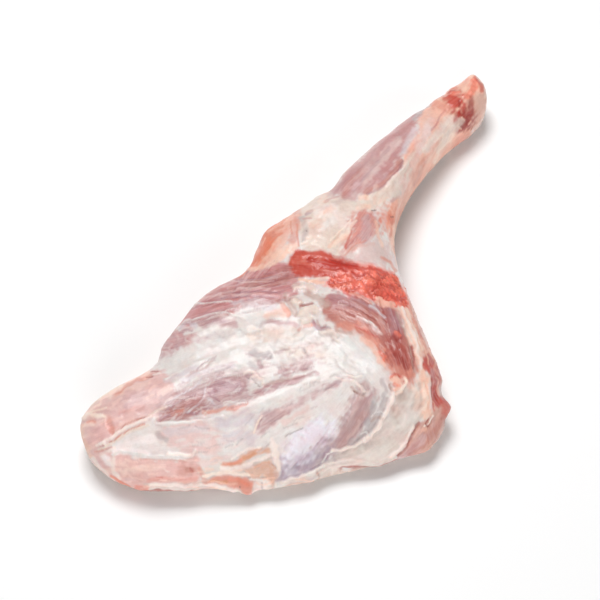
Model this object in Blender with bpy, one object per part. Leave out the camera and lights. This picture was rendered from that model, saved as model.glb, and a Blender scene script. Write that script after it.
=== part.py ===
# Raw lamb shoulder on the bone, lying on its fat side as it does on a butcher's table.
# The blade end is at -X, the knuckle of the shank at +X and the trimmed fat edge at -Y.
# It is one solid: a ball is drawn out along X and every vertex is moved to its place on the meat.
import math

import bmesh
import bpy
import numpy as np

MM = 0.001
NAME = "lamb_shoulder"

LENGTH = 393.0  # blade end to knuckle, of which smoothing takes about 5
RINGS = 80  # rings of vertices from one end to the other
AROUND = 72  # vertices in a ring
AROUND_TOP = 43  # of those, the steps that cross the upper side
END_CROWDING = 0.35  # how far the rings draw together towards both ends
SMOOTHINGS = 2  # passes that take the corners off the finished surface

# Cross sections, in millimetres: distance along X, the near (-Y) and far (+Y) edge, the height of
# both edges and of the crown above the table, how far the underside is lifted, how square the
# section is (2 is an ellipse), and how the near side falls from the crown (0.5 is round).
SECTIONS = (
    (-194, 30, 60, 12, 16, 23, 5, 3.0, 0.6),
    (-186, 14, 70, 12, 16, 26, 4, 3.0, 0.6),
    (-175, 1, 76, 11, 16, 29, 2, 3.0, 0.7),
    (-158, -17, 75, 10, 16, 33, 1, 3.0, 0.7),
    (-140, -35, 70, 9, 17, 36, 0, 3.0, 0.8),
    (-127, -46, 67, 9, 19, 38, 0, 3.0, 0.8),
    (-115, -53, 72, 8, 21, 40, 0, 3.0, 0.8),
    (-95, -67, 77, 8, 24, 43, 0, 3.0, 0.8),
    (-75, -79, 79, 9, 25, 46, 0, 3.0, 0.8),
    (-58, -88, 75, 10, 25, 49, 0, 2.8, 0.8),
    (-44, -85, 72, 12, 25, 50, 0, 2.8, 0.7),
    (-32, -75, 78, 14, 26, 51, 0, 2.6, 0.6),
    (-12, -41, 82, 16, 27, 51, 0, 2.4, 0.5),
    (5, -13, 81, 18, 27, 50, 0, 2.3, 0.5),
    (22, 9, 79, 19, 27, 48, 2, 2.3, 0.5),
    (36, 21, 78, 20, 26, 45, 3, 2.2, 0.5),
    (55, 33, 80, 21, 25, 43, 4, 2.1, 0.5),
    (80, 43, 82, 21, 24, 40, 5, 2.0, 0.5),
    (110, 50, 83, 19, 22, 37, 4, 2.0, 0.5),
    (140, 53, 83, 17, 20, 34, 3, 2.0, 0.5),
    (162, 52, 81, 16, 18, 32, 1, 2.0, 0.5),
    (180, 55, 80, 15, 17, 31, 0, 2.3, 0.5),
    (194, 65, 80, 15, 16, 28, 3, 2.5, 0.5),
)
BLADE_END_ROUNDING = 14.0
KNUCKLE_ROUNDING = 12.0

# The thin sheet of fat that stands out from the near side: distance along X, width, thickness.
LIP = (
    (-194, 0, 4),
    (-170, 4, 5),
    (-130, 10, 5),
    (-90, 14, 6),
    (-60, 10, 8),
    (-40, 4, 9),
    (-20, 0, 9),
    (194, 0, 9),
)
PRESSED_FLAT = 1.0  # how much of the underside the weight of the meat flattens on the table
LIP_CREASE = 4.0  # how far the corner between the lip and the meat is filled

# Muscles and fat that swell from the upper side: one end, the other end, radius, height.
SWELLINGS = {
    "shank muscle": ((48, 72), (118, 74), 20, 3.0),
    "shank tendons": ((40, 46), (120, 58), 13, 2.0),
    "knuckle": ((162, 62), (180, 68), 16, 2.0),
    "elbow fat": ((-30, 64), (-12, 70), 24, 4.0),
    "fat beside the elbow": ((-6, 50), (22, 62), 18, 3.0),
    "muscle in the crook": ((2, 22), (22, 34), 15, 3.0),
    "cut arm muscle": ((-30, 36), (-16, 0), 14, 3.0),
    "far blade muscle": ((-106, 60), (-66, 46), 26, 4.0),
    "muscle over the joint": ((-44, 4), (-40, -44), 20, 4.0),
    "upper fold of the blade": ((-164, 36), (-128, 0), 14, 3.0),
    "lower fold of the blade": ((-128, 0), (-84, -22), 14, 3.0),
    "muscle under the blade": ((-116, -36), (-76, -42), 22, 5.0),
    "far corner of the blade": ((-180, 54), (-158, 58), 20, 3.0),
    "near corner of the blade": ((-176, 14), (-154, -8), 14, 3.0),
    "near side strip": ((-34, -66), (-16, -30), 12, 3.0),
}

# Seams and hollows between them: one end, the other end, radius, depth.
SEAMS = {
    "elbow to blade": ((-48, 74), (-42, 44), 14, 4.0),
    "beside the cut arm muscle": ((-42, 40), (-40, 12), 11, 3.0),
    "shank muscle to elbow": ((30, 60), (44, 44), 12, 2.5),
    "crook to elbow fat": ((-14, 26), (22, 42), 10, 2.5),
    "beside the joint": ((-60, 16), (-60, -34), 13, 3.0),
    "far muscle to blade": ((-130, 54), (-78, 24), 12, 3.0),
    "blade hollow": ((-142, 26), (-96, 6), 20, 3.0),
    "between the folds": ((-146, -4), (-100, -28), 11, 2.5),
    "end of the blade": ((-188, 38), (-166, 28), 11, 2.5),
    "above the fat sheet": ((-122, -47), (-62, -62), 11, 3.0),
    "behind the knuckle": ((146, 52), (148, 82), 14, 1.5),
}


def smooth_curve(table, column, at):
    """A table column read at any distance along X, on a curve with no corners."""
    stations = np.array([row[0] for row in table], float)
    values = np.array([row[column] for row in table], float)
    slopes = np.gradient(values, stations)
    index = np.clip(np.searchsorted(stations, at, side="right") - 1, 0, len(stations) - 2)
    gap = stations[index + 1] - stations[index]
    share = np.clip((at - stations[index]) / gap, 0.0, 1.0)
    start = 2 * share**3 - 3 * share**2 + 1
    leave = share**3 - 2 * share**2 + share
    arrive = share**3 - share**2
    return (
        start * values[index]
        + (1 - start) * values[index + 1]
        + gap * (leave * slopes[index] + arrive * slopes[index + 1])
    )


def near_line(x, y, start, end, radius):
    """1 on the line from start to end, falling smoothly to 0 at this radius from it."""
    ax, ay = start
    run_x, run_y = end[0] - ax, end[1] - ay
    share = np.clip(((x - ax) * run_x + (y - ay) * run_y) / (run_x**2 + run_y**2), 0, 1)
    distance = np.hypot(x - ax - share * run_x, y - ay - share * run_y)
    return np.clip(1 - (distance / radius) ** 2, 0, 1) ** 2


def relief(x, y):
    """How far the muscles and seams lift the upper side at a place."""
    height = np.zeros_like(x)
    for start, end, radius, rise in SWELLINGS.values():
        height += rise * near_line(x, y, start, end, radius)
    for start, end, radius, depth in SEAMS.values():
        height -= depth * near_line(x, y, start, end, radius)
    return height


def softer_of(a, b, blend):
    """The larger of two heights, with the corner between them filled."""
    return (a + b + np.sqrt((a - b) ** 2 + blend**2)) / 2


def meat_surface(along, turn):
    """Where a vertex goes: along runs from 0 at the blade end to 1 at the knuckle, and turn from 0
    at the far edge over the top (0.5 at the near edge) and back under the meat to 1."""
    crowded = (1 - np.cos(math.pi * along)) / 2
    x = LENGTH * ((1 - END_CROWDING) * along + END_CROWDING * crowded - 0.5)
    near, far, near_height, far_height, crown, lift, squareness, near_fall = (
        smooth_curve(SECTIONS, column, x) for column in range(1, 9)
    )
    lip_width = smooth_curve(LIP, 1, x)
    lip_half = smooth_curve(LIP, 2, x) / 2

    from_blade = np.clip((x + LENGTH / 2) / BLADE_END_ROUNDING, 0, 1)
    from_knuckle = np.clip((LENGTH / 2 - x) / KNUCKLE_ROUNDING, 0, 1)
    closing = np.sqrt(1 - (1 - from_blade) ** 2) * np.sqrt(1 - (1 - from_knuckle) ** 2)

    middle, half = (near + far) / 2, (far - near) / 2 * closing
    even = 1 - 4 * np.abs(turn - np.round(turn))
    across = (np.cos(2 * math.pi * turn) + even) / 2
    y = middle + half * across
    edge_height = near_height + (far_height - near_height) * (across + 1) / 2

    body_near = near + lip_width
    body_half = (far - body_near) / 2 * closing + 1e-6
    body_across = np.clip((y - (far + body_near) / 2) / body_half, -1, 1)
    fall = np.where(body_across < 0, near_fall, 0.5)
    body = (1 - np.abs(body_across) ** squareness) ** fall * closing
    lip = lip_half * np.sqrt(np.clip(1 - across**10, 0, 1)) * closing

    upper = softer_of((crown - edge_height) * body, lip, LIP_CREASE * closing) + relief(x, y) * body
    lower = softer_of((edge_height - lift) * np.sqrt(body), lip, LIP_CREASE * closing)
    z = edge_height + np.where(turn <= 0.5, upper, -lower)
    z = np.maximum(z - PRESSED_FLAT, 0.0)
    return np.stack([x, y, z], axis=1) * MM


def ball_in_turns(ball):
    """How far along the meat, and how far round it, each vertex of the ball stands."""
    along = np.arccos(np.clip(ball[:, 2], -1, 1)) / math.pi
    step = np.round(np.arctan2(ball[:, 1], ball[:, 0]) / (2 * math.pi) * AROUND) % AROUND
    over_top = step / AROUND_TOP / 2
    under = 0.5 + (step - AROUND_TOP) / (AROUND - AROUND_TOP) / 2
    return along, np.where(step <= AROUND_TOP, over_top, under)


def build_meat():
    shape = bmesh.new()
    bmesh.ops.create_uvsphere(shape, u_segments=AROUND, v_segments=RINGS, radius=1.0)
    places = meat_surface(*ball_in_turns(np.array([vertex.co for vertex in shape.verts])))
    for vertex, place in zip(shape.verts, places):
        vertex.co = place
    for _ in range(SMOOTHINGS):
        bmesh.ops.smooth_vert(
            shape, verts=shape.verts, factor=0.5, use_axis_x=True, use_axis_y=True, use_axis_z=True
        )
    stand_on_origin(shape)
    bmesh.ops.recalc_face_normals(shape, faces=shape.faces)
    mesh = bpy.data.meshes.new(NAME)
    shape.to_mesh(mesh)
    shape.free()
    mesh.shade_smooth()
    return mesh


def stand_on_origin(shape):
    """The middle of the meat's box goes over the origin, with its underside on the table."""
    places = np.array([vertex.co for vertex in shape.verts])
    low, high = places.min(axis=0), places.max(axis=0)
    shift = -(low + high) / 2
    shift[2] = -low[2]
    bmesh.ops.translate(shape, verts=shape.verts, vec=shift)


def raw_meat_material():
    material = bpy.data.materials.new("raw_lamb")
    material.use_nodes = True
    shader = material.node_tree.nodes["Principled BSDF"]
    shader.inputs["Base Color"].default_value = (0.62, 0.33, 0.31, 1.0)
    shader.inputs["Roughness"].default_value = 0.42
    shader.inputs["Metallic"].default_value = 0.0
    return material


def main():
    for old in list(bpy.data.objects):
        bpy.data.objects.remove(old)
    collection = bpy.data.collections.new("raw_lamb_shoulder")
    bpy.context.scene.collection.children.link(collection)
    mesh = build_meat()
    mesh.materials.append(raw_meat_material())
    collection.objects.link(bpy.data.objects.new(NAME, mesh))


main()
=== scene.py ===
# Raw lamb shoulder on the bone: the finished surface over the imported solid, on a pale studio table.
# The shoulder lies on its fat side. Muscle, fat and silverskin are sculpted and coloured on one fine
# skin, stroke by stroke, with each stroke placed by where it shows in the 600 x 600 photograph.
import math

import bmesh
import bpy
import numpy as np
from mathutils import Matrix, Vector, noise


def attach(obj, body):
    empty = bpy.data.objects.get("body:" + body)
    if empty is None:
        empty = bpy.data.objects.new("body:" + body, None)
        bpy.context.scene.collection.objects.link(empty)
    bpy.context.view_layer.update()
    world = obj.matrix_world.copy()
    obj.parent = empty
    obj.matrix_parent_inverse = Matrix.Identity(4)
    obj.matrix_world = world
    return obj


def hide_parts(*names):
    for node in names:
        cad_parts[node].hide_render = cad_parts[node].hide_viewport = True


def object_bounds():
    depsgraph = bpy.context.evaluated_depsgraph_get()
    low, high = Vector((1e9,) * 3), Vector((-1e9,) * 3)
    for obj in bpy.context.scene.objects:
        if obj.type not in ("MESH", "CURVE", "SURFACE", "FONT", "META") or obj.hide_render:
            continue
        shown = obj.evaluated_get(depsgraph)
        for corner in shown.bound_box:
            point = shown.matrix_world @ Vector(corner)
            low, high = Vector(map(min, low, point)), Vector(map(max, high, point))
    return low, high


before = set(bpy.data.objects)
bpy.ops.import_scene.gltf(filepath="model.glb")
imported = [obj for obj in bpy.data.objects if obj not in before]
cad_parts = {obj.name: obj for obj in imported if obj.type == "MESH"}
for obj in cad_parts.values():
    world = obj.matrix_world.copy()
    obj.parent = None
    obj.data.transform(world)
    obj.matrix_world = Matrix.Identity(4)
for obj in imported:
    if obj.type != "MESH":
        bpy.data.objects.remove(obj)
solidLow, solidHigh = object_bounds()
scene = bpy.context.scene
mm = 0.001
print("frame loaded")

# Camera and studio

view = {
    "target": (-0.0374, 0.0361, 0.0243),  # metres, seen at the middle of the photograph
    "distance": 0.8434,  # metres
    "elevation": 50.0,  # degrees above the table
    "azimuth": -49.0,  # degrees round from looking along +Y
    "lens": 85.0,
    "sensor": 36.0,
    "photoSide": 600,  # pixels
    "clipStart": 0.01,
}
turnRound = math.radians(view["azimuth"])
tiltUp = math.radians(view["elevation"])
towardsCamera = np.array(
    [
        math.sin(turnRound) * math.cos(tiltUp),
        -math.cos(turnRound) * math.cos(tiltUp),
        math.sin(tiltUp),
    ]
)
photoRight = np.array([math.cos(turnRound), math.sin(turnRound), 0.0])
photoUp = np.cross(towardsCamera, photoRight)
cameraPlace = np.array(view["target"]) + towardsCamera * view["distance"]
pixelFocus = view["lens"] / view["sensor"] * view["photoSide"]


def toPhoto(places):
    # where points in metres show in the photograph, in pixels from its top left corner
    away = places - cameraPlace
    depth = -away @ towardsCamera
    across = view["photoSide"] / 2 + pixelFocus * (away @ photoRight) / depth
    down = view["photoSide"] / 2 - pixelFocus * (away @ photoUp) / depth
    return np.stack([across, down], axis=1)


cameraData = bpy.data.cameras.new("studioCamera")
cameraData.lens = view["lens"]
cameraData.sensor_width = view["sensor"]
cameraData.clip_start = view["clipStart"]
camera = bpy.data.objects.new("studioCamera", cameraData)
camera.location = Vector(cameraPlace)
camera.rotation_mode = "QUATERNION"
camera.rotation_quaternion = Vector(-towardsCamera).to_track_quat("-Z", "Y")
scene.collection.objects.link(camera)
scene.camera = camera


def linearColour(hexText):
    # an sRGB hex value as linear RGBA
    parts = [int(hexText[i : i + 2], 16) / 255 for i in (1, 3, 5)]
    return tuple(p / 12.92 if p <= 0.04045 else ((p + 0.055) / 1.055) ** 2.4 for p in parts) + (1.0,)


def addNode(tree, kind, settings=None, links=None):
    # one shader node: its settings by name, its inputs by number or name, as values or as other sockets
    node = tree.nodes.new(kind)
    for key, value in (settings or {}).items():
        setattr(node, key, value)
    for key, value in (links or {}).items():
        if isinstance(value, bpy.types.NodeSocket):
            tree.links.new(value, node.inputs[key])
        else:
            node.inputs[key].default_value = value
    return node


studio = {
    "floorSide": 6.0,  # metres
    "floorColour": "#FAFAFA",
    "floorRoughness": 0.9,
    "floorShine": 0.1,
    "glowColour": "#FFFFFF",
    "floorGlow": 0.02,
    "skyColour": "#FFFFFF",
    "skyStrength": 0.1,
    "lampDistance": 1.5,
    # degrees round to the left from straight behind the meat, degrees above the table, watts, metres
    "lamps": {
        "backLight": (22, 66, 18.9, 0.75),
        "leftLight": (90, 62, 2.2, 0.9),
        "rightLight": (250, 15, 4.6, 0.8),
        "frontLight": (180, 15, 11.7, 0.9),
    },
}


def buildStudio():
    shape = bmesh.new()
    bmesh.ops.create_grid(shape, x_segments=1, y_segments=1, size=studio["floorSide"] / 2)
    mesh = bpy.data.meshes.new("studioFloor")
    shape.to_mesh(mesh)
    shape.free()
    paper = bpy.data.materials.new("mattePaperSweep")  # matte white paper, with no shine
    paper.use_nodes = True
    shader = paper.node_tree.nodes["Principled BSDF"]
    shader.inputs["Base Color"].default_value = linearColour(studio["floorColour"])
    shader.inputs["Roughness"].default_value = studio["floorRoughness"]
    shader.inputs["Specular IOR Level"].default_value = studio["floorShine"]
    shader.inputs["Emission Color"].default_value = linearColour(studio["glowColour"])
    shader.inputs["Emission Strength"].default_value = studio["floorGlow"]
    mesh.materials.append(paper)
    floor = bpy.data.objects.new("studioFloor", mesh)
    scene.collection.objects.link(floor)
    behind = np.cross([0.0, 0.0, 1.0], photoRight)
    for name, (turn, rise, power, side) in studio["lamps"].items():
        swing, up = math.radians(turn), math.radians(rise)
        level = behind * math.cos(swing) - photoRight * math.sin(swing)
        towards = level * math.cos(up) + np.array([0.0, 0.0, math.sin(up)])
        lamp = bpy.data.lights.new(name, "AREA")
        lamp.energy = power
        lamp.size = side
        light = bpy.data.objects.new(name, lamp)
        light.location = towards * studio["lampDistance"]
        light.rotation_mode = "QUATERNION"
        light.rotation_quaternion = Vector(-towards).to_track_quat("-Z", "Y")
        scene.collection.objects.link(light)
    world = bpy.data.worlds.new("studioSky")
    world.use_nodes = True
    sky = world.node_tree.nodes["Background"]
    sky.inputs["Color"].default_value = linearColour(studio["skyColour"])
    sky.inputs["Strength"].default_value = studio["skyStrength"]
    scene.world = world
    scene.view_settings.view_transform = "Standard"


buildStudio()
print("camera and studio made")

# Tissues: colour, fibre (how stringy), gloss (how wet), lumps (relief of its own, in millimetres)

tissues = {
    "creamFat": ("#E4D2C6", 0.1, 0.35, 0.18),
    "warmFat": ("#F6CBB5", 0.25, 0.35, 0.15),
    "peachFat": ("#F1C0AD", 0.25, 0.4, 0.14),
    "apricotFat": ("#E48569", 0.12, 0.4, 0.1),
    "salmonFat": ("#DD9684", 0.15, 0.4, 0.15),
    "yellowFat": ("#F8E4D4", 0.15, 0.35, 0.18),
    "shadedFat": ("#C4A99E", 0.15, 0.3, 0.15),
    "brightFat": ("#F2E2DA", 0.1, 0.4, 0.2),
    "whiteSkin": ("#E6E0DC", 0.2, 0.6, 0.1),
    "coolSkin": ("#DEDCD9", 0.2, 0.6, 0.05),
    "greySkin": ("#ADA3A5", 0.3, 0.6, 0.1),
    "lilacSkin": ("#D9CFD3", 0.15, 0.7, 0.05),
    "pinkSkin": ("#E8CFCA", 0.2, 0.6, 0.1),
    "lavenderSkin": ("#ECE7EE", 0.1, 0.8, 0.0),
    "lavenderShade": ("#C6B0BF", 0.15, 0.7, 0.05),
    "silverSkin": ("#DDC4BF", 0.15, 0.65, 0.0),
    "mauveMeat": ("#C8A7A8", 0.7, 0.5, 0.1),
    "plumMeat": ("#AC828C", 0.6, 0.5, 0.1),
    "pinkMeat": ("#C9A4A6", 0.6, 0.5, 0.1),
    "roseMeat": ("#CC9090", 0.7, 0.5, 0.1),
    "freshMeat": ("#DA9A90", 0.4, 0.5, 0.15),
    "brownMeat": ("#AE6C64", 0.8, 0.5, 0.1),
    "shankMeat": ("#C69897", 0.2, 0.55, 0.0),
    "shankRose": ("#C5867D", 0.6, 0.5, 0.05),
    "bellyMeat": ("#BEA09E", 0.3, 0.6, 0.0),
    "jointMeat": ("#C08177", 0.55, 0.5, 0.1),
    "coralMeat": ("#CA594B", 0.25, 0.5, 0.3),
    "deepRed": ("#BC362B", 0.5, 0.55, 0.3),
    "brightRed": ("#F98270", 0.1, 0.7, 0.9),
    "orangeRed": ("#EA7F69", 0.1, 0.6, 0.8),
    # dark red painted shade for pits and crevices
    "shadedPit": ("#9C352D", 0.2, 0.6, 0.3),
    "darkRed": ("#A54039", 0.6, 0.5, 0.3),
    "maroon": ("#9C433C", 0.4, 0.5, 0.3),
    "edgeRed": ("#C05A54", 0.5, 0.45, 0.2),
    "tanMeat": ("#D0A395", 0.2, 0.45, 0.2),
    "slabPink": ("#E8C0B9", 0.15, 0.35, 0.1),
    "slabSpot": ("#CC8E80", 0.4, 0.4, 0.15),
    "endPeach": ("#FCDED1", 0.25, 0.4, 0.05),
    "endPink": ("#E4BFBA", 0.2, 0.45, 0.1),
    "endShade": ("#E0A091", 0.3, 0.4, 0.1),
    "crescentFat": ("#D9A890", 0.2, 0.45, 0.15),
    "rimSalmon": ("#E59888", 0.2, 0.4, 0.1),
    "rimCream": ("#DED4CC", 0.2, 0.4, 0.1),
    "amberFat": ("#D69269", 0.15, 0.45, 0.1),
    "mauveShade": ("#B0A0AE", 0.15, 0.7, 0.0),
    # a painted highlight on white skin, lighter than the skin itself
    "paintedHighlightSkin": ("#F8EEEC", 0.1, 0.8, 0.0),
    "fleck": ("#5E3B36", 0.0, 0.3, 0.0),
}

# Broad areas: tissue, strength, softness of the edge in pixels, outline in photograph pixels, and for
# some how far they rise in millimetres

areas = {
    "shank belly": ("shankMeat", 1, 6, (
        (326, 186), (342, 172), (358, 157), (375, 140), (393, 125), (410, 113), (428, 100), (430, 110),
        (418, 118), (416, 130), (409, 142), (404, 153), (400, 163), (393, 174), (383, 184), (374, 193),
        (364, 197), (356, 194), (349, 201), (340, 203), (337, 193), (326, 203), (316, 198),
    )),
    "shank front": ("peachFat", 1, 3, (
        (428, 104), (445, 95), (462, 110), (470, 135), (452, 158), (430, 178), (415, 205), (404, 240),
        (392, 250), (388, 215), (392, 190), (402, 165), (410, 145), (418, 130), (420, 116),
    )),
    "elbow cream": ("creamFat", 1, 5, (
        (298, 205), (320, 192), (345, 200), (362, 198), (380, 188), (398, 172), (408, 165), (398, 190),
        (388, 204), (372, 212), (355, 216), (352, 232), (346, 250), (340, 256), (320, 252), (302, 248),
    )),
    "elbow apricot": ("apricotFat", 1, 7, (
        (238, 284), (246, 264), (256, 244), (268, 226), (282, 214), (296, 208), (292, 222), (286, 234),
        (280, 246), (270, 258), (260, 266), (252, 274),
    )),
    "far muscle": ("roseMeat", 1, 4, (
        (176, 330), (190, 306), (206, 290), (226, 276), (250, 268), (292, 264), (300, 276), (296, 290),
        (282, 300), (250, 302), (232, 312), (206, 316), (190, 326),
    )),
    "far corner": ("pinkMeat", 0.9, 5, (
        (152, 360), (160, 342), (172, 332), (192, 334), (193, 342), (184, 350), (172, 354), (160, 360),
    )),
    "blade end": ("endPink", 1, 3.5, (
        (152, 370), (128, 380), (100, 394), (80, 414), (76, 432), (84, 452), (100, 472), (122, 488),
        (140, 494), (136, 470), (112, 452), (112, 440), (126, 428), (152, 418), (170, 404), (176, 388),
        (168, 374),
    )),
    "under blade meat": ("mauveMeat", 0.9, 5, (
        (156, 421), (160, 404), (176, 390), (196, 380), (222, 372), (246, 374), (244, 392), (252, 398),
        (236, 403), (222, 404), (206, 414), (184, 420),
    )),
    "smooth hollow": ("endPink", 0.75, 6, (
        (160, 434), (176, 426), (200, 424), (214, 428), (220, 442), (214, 453), (196, 455), (172, 448),
    )),
    "cut slab": ("slabPink", 1, 1.8, (
        (112, 458), (122, 454), (140, 458), (170, 460), (193, 459), (201, 466), (200, 478), (184, 484),
        (150, 488), (130, 486), (116, 472),
    )),
    "rim side": ("rimCream", 0.9, 3, (
        (198, 462), (215, 456), (240, 462), (262, 470), (285, 478), (310, 474), (322, 466), (322, 486),
        (285, 492), (250, 500), (200, 498), (150, 494), (140, 487), (180, 484), (200, 478),
    )),
    "lavender belly": ("lavenderSkin", 1, 6, (
        (284, 474), (282, 456), (288, 440), (302, 427), (322, 414), (336, 424), (336, 440), (330, 454),
        (316, 466), (300, 474), (288, 478),
    )),
    "pink belly": ("bellyMeat", 1, 5, (
        (360, 384), (374, 390), (374, 404), (366, 420), (356, 436), (344, 447), (330, 454), (318, 462),
        (322, 448), (334, 436), (342, 420), (350, 402),
    )),
    "pink strip": ("pinkMeat", 0.75, 3, (
        (255, 431), (259, 420), (270, 411), (288, 403), (310, 396), (306, 404), (292, 414), (278, 424),
        (264, 433),
    )),
    "sheet fat": ("rimCream", 1, 2, (
        (396, 392), (391, 411), (380, 426), (367, 441), (342, 451), (321, 463), (316, 484), (340, 476),
        (366, 470), (390, 462), (406, 450), (412, 430), (430, 416), (432, 396), (426, 380), (410, 386),
    )),
    "joint muscle": ("jointMeat", 1, 3.5, (
        (322, 298), (340, 295), (364, 298), (380, 306), (396, 308), (402, 322), (412, 342), (418, 364),
        (414, 384), (402, 378), (388, 366), (376, 350), (362, 336), (342, 326), (326, 318),
    )),
    "near cream": ("warmFat", 0.9, 5, (
        (398, 306), (408, 300), (417, 320), (425, 352), (431, 382), (434, 402), (430, 418), (422, 412),
        (420, 380), (413, 350), (406, 326), (398, 318),
    )),
    "near salmon": ("salmonFat", 0.9, 3, (
        (404, 292), (412, 300), (422, 322), (432, 344), (442, 366), (446, 390), (438, 396), (431, 370),
        (422, 344), (412, 318),
    )),
    "near meat": ("tanMeat", 1, 2, (
        (428, 356), (440, 362), (446, 388), (455, 406), (456, 430), (442, 452), (420, 464), (402, 467),
        (404, 448), (412, 430), (430, 418), (436, 400), (434, 380),
    )),
    "coral muscle": ("coralMeat", 1, 2.6, (
        (287, 262), (292, 253), (304, 250), (330, 253), (350, 259), (362, 264), (356, 270), (344, 273),
        (326, 278), (306, 277), (293, 271),
    )),
    "bloodied tissue": ("brightRed", 1, 3.5, (
        (325, 285), (332, 277), (344, 270), (358, 262), (376, 266), (392, 270), (402, 284), (408, 304),
        (396, 307), (381, 306), (372, 298), (356, 296), (338, 291),
    )),
    "crook muscle": ("freshMeat", 1, 5, (
        (353, 214), (364, 209), (374, 214), (377, 228), (371, 238), (357, 244), (343, 257), (345, 245),
        (352, 229),
    )),
    "crook skin": ("silverSkin", 0.9, 8, (
        (346, 257), (356, 247), (374, 239), (388, 243), (394, 256), (388, 266), (364, 263),
    )),
    "crook apricot": ("apricotFat", 0.7, 9, (
        (380, 216), (388, 208), (398, 205), (399, 214), (394, 223), (386, 226), (380, 222),
    )),
    "knuckle": ("warmFat", 1, 3, (
        (436, 98), (450, 84), (462, 78), (473, 72), (486, 82), (488, 106), (482, 122), (474, 132),
        (462, 136), (452, 124), (444, 108),
    )),
    "knuckle side": ("tanMeat", 0.7, 5, (
        (468, 98), (476, 92), (486, 92), (488, 108), (482, 122), (474, 130), (466, 126), (468, 112),
    )),
    "knuckle bruise": ("darkRed", 0.95, 6, (
        (454, 116), (464, 110), (472, 112), (474, 122), (466, 131), (456, 130),
    )),
    "knuckle red": ("deepRed", 0.9, 6, (
        (449, 94), (456, 90), (463, 94), (464, 104), (459, 111), (452, 112), (448, 103),
    ), 0.6),
    "upper crescent": ("crescentFat", 0.95, 1.8, (
        (221, 464), (233, 461), (241, 455), (250, 450), (260, 447), (272, 449), (268, 453), (258, 455),
        (251, 460), (244, 464), (234, 467),
    ), 0.5),
    "lower crescent": ("crescentFat", 0.8, 2.5, (
        (246, 472), (255, 467), (263, 462), (271, 462), (276, 470), (277, 481), (271, 486), (267, 479),
        (262, 475), (254, 477),
    ), 0.8),
    "orange bar": ("salmonFat", 0.95, 2, (
        (204, 484), (213, 478), (228, 475), (240, 476), (251, 479), (252, 488), (248, 494), (242, 488),
        (230, 486), (214, 487),
    ), 0.6),
    "pale block": ("brightFat", 0.9, 1.6, (
        (252, 480), (262, 478), (270, 480), (270, 487), (261, 491), (253, 491),
    )),
    "belly shade": ("mauveShade", 0.8, 9, (
        (279, 482), (283, 466), (294, 460), (306, 458), (320, 448), (334, 438), (332, 452), (318, 465),
        (304, 474), (290, 480),
    )),
    "front wedge": ("brownMeat", 0.6, 3.5, (
        (156, 421), (166, 410), (178, 401), (196, 396), (204, 404), (196, 414), (176, 421),
    )),
    "mauve triangle": ("mauveMeat", 0.85, 2.5, (
        (206, 387), (220, 380), (236, 375), (244, 384), (242, 396), (226, 401), (212, 395),
    ), -0.4),
    "joint upper shade": ("plumMeat", 0.6, 5, (
        (324, 302), (340, 293), (360, 295), (376, 301), (388, 310), (372, 311), (352, 305), (336, 308),
    )),
    "joint plum": ("plumMeat", 0.7, 5, ((386, 313), (398, 314), (404, 328), (401, 338), (390, 334))),
    "joint dark": ("darkRed", 0.65, 5, (
        (388, 336), (399, 332), (408, 344), (413, 358), (410, 372), (400, 372), (392, 362), (386, 350),
    ), -0.4),
    "joint rim": ("salmonFat", 0.85, 4.5, (
        (338, 322), (354, 323), (368, 330), (381, 341), (390, 356), (384, 362), (378, 352), (364, 340),
        (350, 332),
    ), 0.3),
    "below the joint": ("salmonFat", 0.75, 4, (
        (386, 360), (398, 368), (413, 366), (415, 380), (408, 390), (398, 378), (390, 376),
    )),
    "red near edge": ("edgeRed", 0.9, 2.5, (
        (422, 360), (430, 354), (438, 360), (441, 372), (443, 388), (448, 398), (440, 404), (433, 412),
        (432, 396), (432, 380), (428, 370),
    )),
}

# Strokes by region: tissue, half width in pixels, strength, rise in millimetres, points in pixels

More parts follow.
